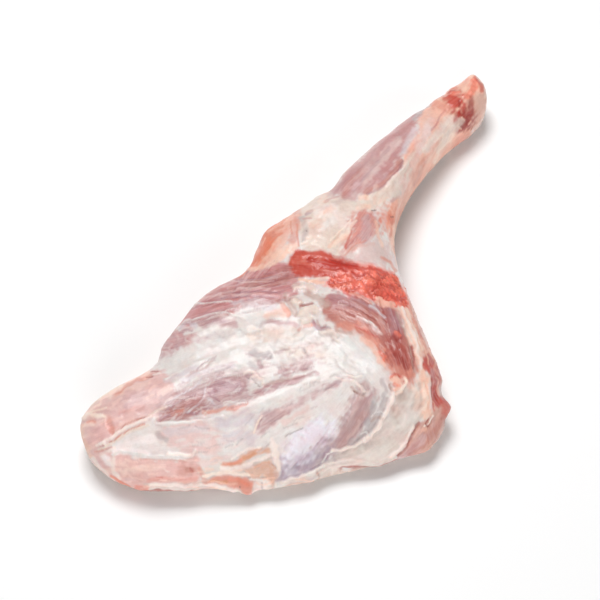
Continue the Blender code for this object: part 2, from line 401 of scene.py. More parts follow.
shankStrokes = (
    # silverskin down the shank: partly the skin's own colour, partly a painted highlight along its middle
    ("silverSkin", 7, 0.8, 0.2, ((366, 180), (377, 166), (389, 151), (398, 141))),
    ("shankRose", 6, 0.8, 0.2, ((345, 194), (350, 184), (360, 172))),
    ("shankRose", 4, 0.8, 0, ((366, 192), (380, 185), (392, 175), (401, 160))),
    ("plumMeat", 2.2, 0.5, -0.3, ((368, 194), (382, 187), (394, 176), (403, 161))),
    ("plumMeat", 2.5, 0.35, -0.2, ((355, 190), (366, 176), (376, 164), (388, 148))),
    ("lilacSkin", 5, 0.7, 0, ((404, 150), (409, 140), (415, 131))),
    ("greySkin", 3, 0.6, 0, ((414, 118), (422, 110), (431, 104))),
    ("plumMeat", 1.8, 0.5, -0.1, ((328, 184), (345, 168), (362, 152))),
    ("pinkSkin", 8, 0.5, 0, ((400, 190), (410, 168), (420, 144), (430, 120))),
    ("pinkSkin", 6, 0.7, 0, ((418, 150), (424, 138), (428, 128))),
    ("roseMeat", 1.5, 0.6, -0.2, ((432, 104), (438, 99), (444, 96))),
    ("roseMeat", 1.5, 0.6, -0.2, ((431, 130), (435, 126), (440, 117), (446, 110))),
    ("rimSalmon", 3.5, 0.7, 0, ((452, 90), (460, 85), (468, 80))),
    ("peachFat", 4, 0.8, 0.2, ((460, 87), (466, 85), (470, 83))),
    ("orangeRed", 6, 0.75, 0.2, ((467, 96), (472, 90), (475, 84))),
    ("coralMeat", 3, 0.75, 0.2, ((475, 79), (480, 84), (482, 91))),
    ("salmonFat", 7, 0.7, 0.2, ((434, 104), (440, 106), (445, 110))),
    ("coralMeat", 4, 0.7, 0.2, ((446, 100), (451, 98), (452, 106))),
    ("orangeRed", 2, 0.6, 0.3, ((452, 95), (458, 93))),
    ("shadedPit", 2.2, 0.6, -0.3, ((459, 101), (460, 106))),
    ("darkRed", 4, 0.55, 0, ((471, 98), (471, 106), (470, 114))),
    ("maroon", 3.6, 0.4, -0.4, ((473, 101), (471, 106), (472, 111))),
    ("maroon", 3.4, 0.5, -0.3, ((468, 115), (466, 120), (462, 126))),
    ("roseMeat", 2.4, 0.6, 0, ((456, 118), (454, 124), (458, 131))),
    ("warmFat", 1.2, 0.7, 0.3, ((461, 117), (464, 120))),
    ("warmFat", 1.2, 0.7, 0.3, ((457, 126), (461, 129))),
    ("warmFat", 1, 0.6, 0.3, ((468, 124), (471, 121))),
    ("salmonFat", 5, 0.6, 0, ((454, 148), (461, 140), (468, 133))),
    ("yellowFat", 6, 0.85, 0.2, ((440, 140), (446, 132), (450, 124))),
    ("brightFat", 3, 0.7, 0.3, ((444, 144), (450, 134), (453, 127))),
    ("salmonFat", 5, 0.7, 0.1, ((414, 184), (418, 172), (423, 163))),
    ("roseMeat", 1.3, 0.6, -0.2, ((414, 186), (417, 178), (419, 171))),
    ("warmFat", 4, 0.7, 0.2, ((426, 156), (434, 148), (441, 144))),
    ("warmFat", 4, 0.8, 0.2, ((360, 198), (368, 197))),
    ("creamFat", 4, 0.8, 0.5, ((372, 196), (382, 191), (393, 180), (407, 165))),
    ("brightFat", 2, 0.7, 0.4, ((386, 186), (397, 174), (408, 162))),
    ("greySkin", 3.4, 0.6, 0.3, ((393, 196), (399, 192))),
    ("pinkMeat", 2.5, 0.6, 0, ((391, 201), (398, 197))),
    ("fleck", 0.9, 0.7, -0.2, ((372, 210), (376, 210))),
    ("warmFat", 4, 0.8, 0, ((404, 240), (409, 215), (416, 195), (428, 178))),
    ("shadedFat", 2.6, 0.5, 0, ((402, 246), (407, 224), (415, 202), (431, 176), (447, 160))),
    ("peachFat", 3, 0.7, 0.3, ((404, 200), (410, 188), (414, 176))),
    ("brightFat", 6, 0.7, 0.1, ((450, 120), (438, 134), (426, 148))),
    ("creamFat", 6, 0.7, 0, ((460, 122), (449, 136), (438, 150))),
    ("yellowFat", 4, 0.6, 0.1, ((454, 134), (444, 148), (434, 162))),
    ("salmonFat", 4, 0.5, 0, ((426, 158), (420, 170), (414, 182))),
    ("creamFat", 6, 0.7, 0.1, ((408, 170), (401, 182), (394, 194))),
)
elbowStrokes = (
    ("apricotFat", 9, 0.8, 0, ((264, 258), (268, 246), (272, 238))),
    ("salmonFat", 8, 0.7, 0, ((276, 236), (284, 226), (292, 219))),
    ("peachFat", 7, 0.7, 0, ((290, 214), (288, 230), (280, 246), (268, 260))),
    ("warmFat", 6, 0.7, 0.1, ((274, 256), (284, 252), (294, 246))),
    ("salmonFat", 5, 0.6, 0.1, ((298, 210), (297, 226), (292, 242))),
    ("warmFat", 3, 0.7, 0.2, ((250, 270), (262, 267), (276, 261), (288, 252))),
    ("salmonFat", 1.5, 0.7, -0.2, ((297, 224), (297, 236), (299, 246))),
    ("salmonFat", 1.2, 0.6, -0.2, ((291, 222), (292, 234))),
    ("greySkin", 4, 0.5, 0.1, ((302, 218), (306, 228), (304, 240))),
    ("plumMeat", 2.4, 0.6, -0.3, ((306, 215), (311, 211))),
    ("fleck", 0.9, 0.6, 0, ((306, 231), (307, 231))),
    ("roseMeat", 1.3, 0.5, -0.2, ((303, 219), (311, 218))),
    ("brightFat", 5, 0.7, 0.5, ((316, 214), (326, 210), (336, 208))),
    ("brightFat", 4, 0.6, 0.5, ((318, 228), (328, 224))),
    ("yellowFat", 1.4, 0.9, 0.3, ((331, 240), (342, 229), (352, 219))),
    ("warmFat", 4, 0.7, 0, ((330, 246), (340, 240), (347, 236))),
    ("creamFat", 5, 0.8, 0.4, ((350, 204), (366, 204), (382, 200))),
    ("warmFat", 3, 0.6, 0, ((358, 208), (370, 206))),
    ("shankRose", 2.6, 0.6, 0, ((326, 202), (332, 197), (338, 196))),
    ("coralMeat", 2, 0.6, 0, ((352, 216), (351, 232), (346, 248))),
    ("mauveMeat", 7, 0.8, 0.1, ((366, 220), (368, 230), (364, 238))),
    ("salmonFat", 1.5, 0.6, -0.2, ((344, 255), (355, 245), (366, 240))),
    ("salmonFat", 2.5, 0.5, 0.2, ((352, 250), (364, 246), (374, 244))),
    ("silverSkin", 5, 0.6, 0, ((362, 248), (376, 245))),
    ("coralMeat", 2.4, 0.35, -0.3, ((390, 216), (392, 226), (391, 236))),
    ("fleck", 0.9, 0.6, -0.2, ((391, 217), (393, 217))),
    ("salmonFat", 2.2, 0.7, 0, ((382, 258), (390, 262), (396, 270))),
    ("warmFat", 5, 0.9, 0.1, ((394, 226), (396, 244), (400, 262))),
    ("salmonFat", 1.4, 0.6, 0, ((394, 246), (398, 260), (403, 274))),
    ("warmFat", 2, 0.6, 0.3, ((376, 222), (378, 234), (382, 246))),
    ("brightFat", 9, 0.75, 0, ((318, 208), (332, 214), (342, 222))),
    ("whiteSkin", 6, 0.6, 0, ((324, 226), (334, 220))),
    ("yellowFat", 3, 0.6, 0.2, ((334, 246), (346, 233), (356, 222))),
)
bloodStrokes = (
    ("deepRed", 5, 0.7, 0.2, ((328, 262), (342, 265), (356, 268))),
    ("coralMeat", 4, 0.7, 0.5, ((296, 256), (312, 254), (330, 256))),
    ("orangeRed", 6, 0.22, 0.3, ((292, 262), (300, 260), (312, 262))),
    ("deepRed", 5, 0.7, 0.2, ((334, 264), (346, 266), (358, 268))),
    # painted highlight on the upper left of the coral muscle
    ("salmonFat", 2, 0.25, 0.3, ((298, 262), (308, 260), (320, 259))),
    ("deepRed", 4, 0.9, 0, ((310, 260), (324, 265), (334, 268), (346, 271))),
    ("darkRed", 1.4, 0.5, -0.3, ((332, 260), (342, 263), (354, 266))),
    ("salmonFat", 1.5, 0.25, 0.4, ((318, 270), (330, 271), (341, 271))),
    ("deepRed", 3, 0.9, -0.4, ((352, 273), (358, 276), (364, 274))),
    # painted shade in the crevices between the clots
    ("shadedPit", 1.6, 0.5, -0.4, ((348, 287), (354, 291), (360, 287))),
    ("shadedPit", 1.8, 0.55, -0.5, ((371, 277), (377, 279), (384, 276))),
    ("shadedPit", 1.4, 0.4, -0.4, ((364, 284), (370, 287), (376, 285))),
    ("shadedPit", 1.5, 0.5, -0.4, ((386, 284), (391, 287), (395, 292))),
    ("shadedPit", 1.2, 0.4, -0.3, ((336, 281), (341, 284))),
    ("orangeRed", 4, 0.85, 0.6, ((330, 284), (340, 288), (350, 283))),
    ("orangeRed", 3, 0.8, 0.6, ((362, 291), (372, 293), (382, 290))),
    ("orangeRed", 3, 0.8, 0.5, ((366, 280), (376, 283), (386, 280))),
    ("orangeRed", 2.5, 0.8, 0.5, ((390, 276), (396, 282), (400, 290))),
    ("deepRed", 3, 0.7, 0, ((392, 296), (398, 300), (403, 298))),
    ("deepRed", 3, 0.6, 0, ((362, 268), (374, 270), (386, 272))),
    ("peachFat", 3, 0.85, 0.5, ((378, 298), (386, 302), (394, 304))),
    ("peachFat", 3, 0.8, 0.4, ((376, 302), (384, 305), (392, 307))),
    ("warmFat", 2.4, 0.95, 0.2, ((300, 279), (312, 281), (324, 283))),
)
farStrokes = (
    ("apricotFat", 4, 0.8, 0, ((206, 290), (216, 283), (230, 277), (246, 272))),
    ("brownMeat", 8, 0.8, 0, ((252, 282), (268, 280), (284, 278))),
    ("brownMeat", 4, 0.6, 0, ((278, 270), (290, 268))),
    ("mauveMeat", 6, 0.5, 0, ((216, 296), (232, 294), (248, 292))),
    ("plumMeat", 1.2, 0.75, -0.35, ((225, 293), (250, 291), (276, 292))),
    ("plumMeat", 1.2, 0.75, -0.35, ((221, 298), (248, 296), (274, 297))),
    ("brownMeat", 1.2, 0.7, -0.3, ((246, 286), (266, 286), (286, 284))),
    ("plumMeat", 1, 0.5, -0.2, ((236, 281), (256, 279), (276, 276))),
    ("pinkSkin", 1.4, 0.5, 0.15, ((228, 289), (250, 288), (270, 289))),
    ("pinkSkin", 1.2, 0.4, 0.15, ((232, 295), (252, 294), (268, 294))),
    ("pinkSkin", 1.2, 0.5, 0.2, ((240, 283), (258, 282), (274, 281))),
    ("whiteSkin", 1.3, 0.9, 0.4, ((194, 304), (206, 303), (218, 302), (232, 301))),
    ("lilacSkin", 8, 0.8, 0, ((236, 305), (254, 304), (272, 306))),
    ("mauveMeat", 3, 0.6, 0, ((244, 302), (262, 300), (280, 300))),
    ("roseMeat", 4, 0.9, 0, ((188, 314), (202, 308), (222, 307), (240, 306))),
    ("roseMeat", 4, 1, -0.2, ((180, 322), (190, 314))),
    ("whiteSkin", 1.5, 0.95, 0.7, (
        (192, 321), (202, 317), (213, 314), (225, 313), (236, 316), (246, 319),
    )),
    ("whiteSkin", 1.1, 0.7, 0.4, ((222, 314), (230, 309), (240, 306))),
    ("mauveMeat", 6, 0.85, 0, ((202, 324), (216, 321), (234, 324))),
    ("plumMeat", 2.5, 0.4, 0, ((206, 322), (216, 320), (224, 322))),
    ("lilacSkin", 4, 0.85, 0.2, ((180, 328), (188, 322), (196, 326))),
    ("plumMeat", 1.6, 0.5, -0.2, ((180, 334), (186, 330), (192, 330))),
    ("whiteSkin", 1.2, 0.8, 0.5, ((177, 331), (183, 324), (190, 320))),
    ("whiteSkin", 1.2, 0.7, 0.5, ((184, 334), (192, 333), (200, 336))),
    ("roseMeat", 4.5, 0.35, 0, ((174, 340), (182, 339), (188, 341))),
    ("roseMeat", 3, 0.25, 0, ((162, 352), (172, 349))),
    ("apricotFat", 2, 0.6, 0, ((156, 356), (161, 346), (168, 337))),
    ("pinkMeat", 5, 0.5, 0, ((200, 341), (214, 338), (224, 336))),
)
fasciaStrokes = (
    ("whiteSkin", 12, 1, 0, ((178, 362), (205, 350), (235, 342), (262, 340))),
    ("creamFat", 10, 0.8, 0.2, ((252, 336), (272, 334), (296, 334))),
    ("creamFat", 9, 0.7, 0, ((286, 350), (304, 350), (320, 352))),
    ("peachFat", 5, 0.6, 0.2, ((266, 316), (276, 313), (288, 312))),
    ("apricotFat", 3.5, 0.55, 0.2, ((283, 306), (287, 310), (289, 315))),
    ("tanMeat", 2.5, 0.7, 0, ((276, 300), (284, 304))),
    ("plumMeat", 2.6, 0.5, -0.2, ((256, 331), (261, 326), (268, 322), (280, 322))),
    ("mauveMeat", 3, 0.9, 0, ((268, 322), (284, 322), (298, 326))),
    ("brightFat", 4, 1, 1.2, ((248, 331), (252, 328), (257, 330))),
    ("greySkin", 7, 0.8, 0, ((254, 354), (262, 357), (268, 356))),
    ("greySkin", 5, 0.6, 0, ((250, 364), (258, 368))),
    ("plumMeat", 3, 0.65, -0.3, ((259, 363), (261, 368))),
    ("coolSkin", 4, 0.8, 0, ((242, 356), (247, 362))),
    ("coolSkin", 4, 0.8, 0, ((272, 362), (280, 366), (286, 364))),
    ("greySkin", 1.5, 0.7, -0.2, ((304, 350), (308, 356))),
    ("brightFat", 3, 0.9, 0.8, ((250, 379), (256, 376), (262, 380), (264, 385))),
    ("brightFat", 2, 0.8, 0.6, ((244, 374), (250, 371), (256, 373))),
    ("greySkin", 1.2, 0.6, -0.3, ((246, 377), (254, 381), (260, 387))),
    ("lilacSkin", 5, 0.8, 0, ((184, 380), (206, 372), (232, 366))),
    ("lilacSkin", 4, 0.7, 0, ((166, 380), (180, 374), (196, 368))),
    ("mauveMeat", 2, 0.5, -0.2, ((186, 376), (204, 368), (214, 360))),
    ("plumMeat", 1.1, 0.5, -0.2, ((196, 370), (206, 362), (216, 357))),
    ("whiteSkin", 1.4, 0.9, 0.5, ((166, 379), (178, 373), (192, 366), (206, 360))),
    ("whiteSkin", 1.2, 0.8, 0.3, ((184, 386), (198, 378), (214, 371), (230, 366))),
    ("plumMeat", 8, 0.7, 0, ((214, 389), (226, 386), (238, 386))),
    ("plumMeat", 1.3, 0.8, -0.4, ((206, 391), (212, 396), (220, 401))),
    ("whiteSkin", 1.2, 0.7, 0.4, ((206, 386), (216, 380), (228, 376), (240, 375))),
    ("pinkMeat", 4, 1, 0, ((256, 392), (276, 386), (296, 380), (316, 374))),
    ("brownMeat", 2.6, 0.5, 0, ((264, 386), (282, 380), (304, 376))),
    ("plumMeat", 1.1, 0.5, -0.3, ((252, 394), (276, 388), (302, 381))),
    ("pinkMeat", 4, 0.7, 0, ((280, 372), (298, 368), (312, 362))),
    ("mauveMeat", 3, 0.6, 0, ((290, 366), (304, 360), (314, 356))),
    ("plumMeat", 1, 0.5, 0, ((284, 375), (300, 370), (314, 366))),
    ("mauveMeat", 7, 0.6, 0, ((164, 398), (178, 392), (194, 392))),
    ("brownMeat", 3.5, 0.75, 0, ((164, 416), (178, 408), (194, 404))),
    ("plumMeat", 2, 0.6, -0.3, ((160, 419), (176, 413), (196, 413))),
    ("plumMeat", 1.3, 0.6, -0.3, ((166, 410), (180, 401), (196, 394))),
    ("lilacSkin", 1.3, 0.8, 0.2, ((164, 404), (180, 395), (196, 386), (202, 378))),
    ("lilacSkin", 1.3, 0.7, 0.2, ((188, 412), (198, 404), (204, 396), (206, 388))),
    ("lilacSkin", 1.4, 0.7, 0.2, ((208, 398), (216, 404), (222, 406))),
    ("salmonFat", 3.5, 0.6, 0, ((172, 415), (184, 410))),
    ("pinkSkin", 2.5, 0.7, 0.2, ((156, 412), (164, 404), (172, 398))),
    ("yellowFat", 2.5, 0.6, 0.2, ((150, 416), (158, 411), (166, 406))),
)
lowerStrokes = (
    ("whiteSkin", 6, 1, 0.4, ((316, 378), (296, 388), (274, 399), (254, 410))),
    ("whiteSkin", 4, 0.8, 0.2, ((252, 411), (240, 418), (228, 426))),
    ("pinkMeat", 3.4, 0.9, 0, ((246, 401), (262, 394), (280, 386))),
    ("salmonFat", 3.6, 0.75, 0, ((204, 412), (220, 410), (238, 407), (246, 404))),
    ("whiteSkin", 1.4, 0.95, 0.6, ((214, 407), (221, 404), (228, 401), (236, 403), (246, 403))),
    ("whiteSkin", 2.4, 1, 1, ((156, 423), (176, 423), (198, 421), (222, 417))),
    ("lilacSkin", 10, 0.9, 0, ((222, 424), (238, 420), (250, 418))),
    ("lilacSkin", 8, 0.8, 0, ((228, 438), (242, 434), (254, 440))),
    ("coolSkin", 3, 0.6, 0, ((232, 422), (244, 416))),
    ("brownMeat", 3.5, 0.2, 0, ((264, 426), (276, 418), (292, 409))),
    ("yellowFat", 1.2, 0.9, 0.4, ((254, 433), (257, 423), (262, 416))),
    ("plumMeat", 1.4, 0.3, -0.1, ((258, 428), (260, 421), (268, 414))),
    ("whiteSkin", 5, 0.9, 0.2, ((258, 444), (270, 432), (286, 420), (304, 408), (316, 398))),
    ("pinkSkin", 4, 0.7, 0, ((284, 424), (298, 414), (308, 406))),
    ("whiteSkin", 1.2, 0.9, 0.4, ((284, 434), (292, 430), (302, 425))),
    ("greySkin", 1, 0.7, -0.3, ((286, 436), (294, 432), (302, 428))),
    ("whiteSkin", 5, 0.9, 0.3, ((268, 440), (274, 450), (278, 464))),
    ("whiteSkin", 2, 0.8, 0.3, ((306, 418), (316, 410), (326, 400))),
    ("mauveMeat", 5, 0.8, 0, ((314, 396), (324, 389), (334, 385))),
    ("plumMeat", 3, 0.6, -0.2, ((328, 388), (336, 384), (342, 380))),
    ("whiteSkin", 6, 0.9, 0, ((326, 420), (334, 406), (342, 394), (350, 386))),
    ("lavenderSkin", 14, 0, 1.6, ((292, 456), (304, 444), (318, 430))),
    # the lavender belly: painted highlight on its crest, then painted shade along its lower side
    ("lavenderSkin", 9, 0.9, 0.4, ((298, 446), (308, 438), (316, 429))),
    ("lavenderShade", 6, 0.6, 0, ((290, 462), (302, 458), (314, 450), (324, 440))),
    ("plumMeat", 5, 0.35, 0, ((300, 470), (312, 466), (324, 458), (334, 450))),
    ("bellyMeat", 8, 0.7, 0, ((368, 392), (364, 410), (355, 428), (342, 446))),
    ("bellyMeat", 14, 0, 1.4, ((336, 446), (352, 426), (364, 402))),
    ("shankRose", 6, 0.25, 0, ((342, 444), (354, 430), (362, 414))),
    ("pinkSkin", 4, 0.3, 0.1, ((352, 412), (358, 400), (362, 390))),
    ("lilacSkin", 3, 0.3, 0, ((330, 440), (340, 428), (348, 412), (354, 398))),
    ("greySkin", 4, 0.6, 0, ((374, 398), (372, 410), (366, 424))),
    # painted shade along both edges of the white ridge of the sheet fat (shadedFat and greySkin); the
    # ridge itself is white fat
    ("shadedFat", 7, 0.22, -0.3, ((402, 396), (398, 410), (390, 424), (380, 436), (368, 446))),
    ("greySkin", 5, 0.5, -0.2, ((384, 400), (379, 412), (372, 424), (364, 434), (350, 442))),
    ("brightFat", 2.8, 1, 1.6, ((393, 391), (392, 401), (387, 411), (380, 423), (371, 434), (364, 440))),
    ("brightFat", 2.4, 0.95, 1.2, ((364, 440), (352, 446), (341, 449), (332, 450))),
    ("greySkin", 1.8, 0.25, -0.2, ((388, 398), (384, 409), (377, 421), (368, 432))),
    ("whiteSkin", 1.2, 0.9, 0.5, ((371, 416), (376, 412), (382, 412), (385, 416))),
    ("whiteSkin", 1.2, 0.8, 0.5, ((361, 434), (366, 432), (370, 435))),
    ("shadedFat", 2.5, 0.5, -0.3, ((372, 420), (378, 418), (382, 419))),
    ("whiteSkin", 1.4, 0.8, 0.6, ((332, 451), (326, 456), (322, 463))),
    ("greySkin", 3, 0.5, 0, ((384, 396), (386, 388), (382, 380))),
    ("pinkSkin", 1.4, 0.7, 0, ((345, 379), (352, 377), (360, 378))),
)
endStrokes = (
    ("endPeach", 5, 0.9, 0, ((146, 374), (128, 382), (110, 393), (96, 404), (88, 412))),
    ("endShade", 3, 0.8, -0.2, ((117, 394), (126, 386), (138, 380), (150, 376))),
    ("maroon", 1.2, 0.6, -0.3, ((146, 377), (152, 377))),
    ("darkRed", 0.9, 0.6, 0, ((151, 371), (158, 371))),
    ("brightFat", 1.4, 0.9, 0.4, ((153, 375), (160, 373))),
    ("apricotFat", 3.5, 0.2, 0, ((114, 396), (122, 390))),
    ("pinkMeat", 9, 0.55, 0, ((124, 402), (138, 398), (152, 394))),
    ("freshMeat", 4, 0.45, 0, ((120, 414), (132, 410), (142, 408))),
    ("yellowFat", 1.4, 0.7, 0.2, ((86, 414), (96, 411), (106, 408))),
    ("apricotFat", 2.4, 0.7, 0, ((88, 423), (96, 422))),
    ("warmFat", 3, 0.8, 0, ((80, 426), (83, 440), (90, 455), (100, 468))),
    ("slabSpot", 1.2, 0.8, -0.5, ((116, 433), (122, 427), (132, 421), (145, 417))),
    ("warmFat", 1, 0.7, -0.3, ((108, 445), (118, 437), (130, 430), (144, 424))),
    ("endShade", 8, 0.5, -0.3, ((108, 422), (112, 429))),
    ("endShade", 5, 0.8, -0.5, ((109, 424), (112, 431))),
    ("brightFat", 3, 0.95, 0.6, ((83, 419), (91, 416), (101, 416))),
    ("endPeach", 4, 0.7, 0, ((84, 426), (94, 425))),
    ("brightFat", 2.2, 1, 0.7, ((100, 445), (107, 440), (114, 435), (124, 429), (136, 423), (150, 418))),
    ("salmonFat", 1.4, 0.5, -0.3, ((110, 443), (119, 436), (131, 429), (144, 424))),
    ("creamFat", 2, 1, 0.5, ((104, 449), (113, 443), (123, 436), (135, 430), (148, 425))),
    ("brightFat", 2.6, 1, 0.8, ((97, 446), (101, 443), (105, 444))),
    ("creamFat", 1.6, 0.9, 0.6, ((98, 450), (104, 448), (112, 445))),
    ("endShade", 1.2, 0.8, -0.3, ((95, 452), (103, 450), (112, 447))),
    # painted highlight on the white skin at the blade end
    ("paintedHighlightSkin", 7, 0.8, 0, ((118, 449), (136, 443), (152, 438))),
    ("whiteSkin", 5, 0.7, 0, ((136, 446), (154, 446), (172, 450))),
    # painted highlight on the white skin at the blade end
    ("paintedHighlightSkin", 5, 0.9, 0, ((103, 455), (110, 463))),
    ("greySkin", 4, 0.5, 0, ((156, 434), (166, 440))),
    ("lilacSkin", 6, 0.6, 0, ((168, 432), (186, 430), (204, 430))),
    ("pinkSkin", 6, 0.6, 0, ((202, 440), (212, 446), (214, 456))),
    # painted highlight along the white lip above the slab
    ("paintedHighlightSkin", 4.5, 0.85, 0.4, ((115, 452), (130, 452), (148, 454))),
    ("whiteSkin", 1.8, 1, 0.7, ((112, 455), (120, 452), (134, 454), (152, 456), (174, 456), (190, 456))),
    ("brightFat", 2.6, 1, 0.7, ((168, 454), (180, 455), (192, 455))),
    ("brightFat", 2.2, 1, 1.2, ((193, 454), (196, 451))),
    ("endShade", 1.3, 0.5, -0.4, ((140, 459), (160, 460), (186, 461))),
    ("slabSpot", 9, 0.5, 0, ((184, 470), (194, 470))),
    ("slabSpot", 5, 0.7, -0.3, ((187, 470), (192, 471))),
    ("edgeRed", 2.4, 0.45, -0.4, ((190, 469), (192, 472))),
    ("rimSalmon", 4, 0.5, 0, ((150, 481), (172, 480), (196, 480))),
    ("brightFat", 1.3, 0.7, 0.3, ((164, 469), (168, 472))),
    ("brightFat", 3.5, 0.9, 0.4, ((113, 458), (114, 468), (119, 478))),
    ("edgeRed", 1.2, 0.35, 0, ((156, 477), (162, 479))),
    ("endPeach", 5, 0.5, 0, ((128, 470), (145, 468), (162, 466))),
    ("brightFat", 3, 0.8, 0.3, ((92, 458), (104, 470), (118, 482), (132, 490))),
    ("apricotFat", 1.8, 0.8, -0.2, ((111, 475), (119, 481), (129, 487))),
    ("rimSalmon", 5, 0.9, 0.3, ((136, 489), (146, 488))),
    ("yellowFat", 3, 0.75, 0.3, ((83, 419), (92, 416), (104, 417))),
    ("warmFat", 3, 0.6, 0, ((82, 425), (84, 437), (89, 449))),
    ("yellowFat", 2.2, 0.6, 0.2, ((90, 408), (104, 396), (120, 386))),
)
rimStrokes = (
    ("brightFat", 3, 1, 0.8, ((150, 485), (170, 486), (200, 487), (236, 489))),
    # painted shadow: a dark strip along the bottom edge of the rim, where it meets the table
    ("brownMeat", 2.2, 0.85, -0.4, ((142, 492), (170, 493), (196, 494), (222, 494), (238, 496))),
    ("pinkSkin", 5, 0.7, 0, ((204, 464), (216, 460), (230, 456))),
    ("salmonFat", 4, 0.6, 0, ((200, 470), (204, 478), (204, 484))),
    ("brightFat", 1.6, 0.9, 0.6, ((232, 459), (241, 453), (250, 449), (260, 447))),
    ("amberFat", 2.6, 0.7, -0.2, ((243, 459), (249, 456), (255, 453))),
    ("apricotFat", 3, 0.6, 0, ((224, 464), (234, 463), (240, 461))),
    ("brightFat", 3.4, 0.95, 0.7, ((220, 469), (236, 468), (248, 464), (260, 459), (273, 454))),
    ("rimCream", 1.8, 0.9, -0.3, ((254, 464), (262, 461), (270, 459))),
    ("amberFat", 3, 0.25, 0, ((262, 467), (269, 466), (272, 473))),
    ("crescentFat", 1.4, 0.8, 0.5, ((254, 467), (263, 462), (270, 462), (275, 468))),
    ("greySkin", 1.4, 0.35, -0.3, ((248, 477), (257, 478), (266, 478))),
    ("whiteSkin", 1.4, 0.9, 0.4, ((250, 479), (258, 480), (266, 481))),
    ("greySkin", 1.6, 0.5, -0.3, ((262, 483), (262, 488))),
    ("yellowFat", 2.8, 0.85, 0.5, ((204, 477), (214, 474), (230, 472), (248, 475))),
    ("amberFat", 2.4, 0.75, -0.3, ((211, 483), (218, 482), (226, 482))),
    ("apricotFat", 3, 0.5, 0, ((228, 480), (240, 480), (248, 484))),
    ("fleck", 0.9, 0.7, -0.3, ((240, 486), (241, 486))),
    ("brightFat", 1.2, 0.7, 0.3, ((238, 489), (244, 493), (248, 495))),
    ("brightFat", 5, 1, 0.8, ((272, 441), (276, 454), (279, 468))),
    ("mauveShade", 3, 0.6, -0.5, ((277, 483), (281, 478), (284, 472))),
    ("mauveShade", 2.4, 0.5, -0.5, ((284, 480), (296, 477), (308, 473), (319, 466))),
    ("rimCream", 3.6, 1, 1, ((276, 485), (288, 482), (302, 478), (314, 474), (322, 468))),
    ("crescentFat", 1.4, 0.5, 0, ((284, 487), (300, 484), (316, 482))),
    ("shadedFat", 1.5, 0.8, -0.5, ((316, 474), (318, 480))),
    ("rimCream", 4, 1, 0.8, ((321, 471), (334, 465), (350, 462), (366, 466), (380, 463), (392, 458))),
    # painted shadow: a dark strip along the bottom edge of the near rim, where it meets the table
    ("brownMeat", 2.2, 0.85, -0.4, (
        (326, 483), (336, 478), (350, 471), (366, 469), (384, 465), (398, 460),
    )),
    ("rimCream", 2, 0.4, 0.1, ((330, 459), (342, 456), (356, 455))),
)
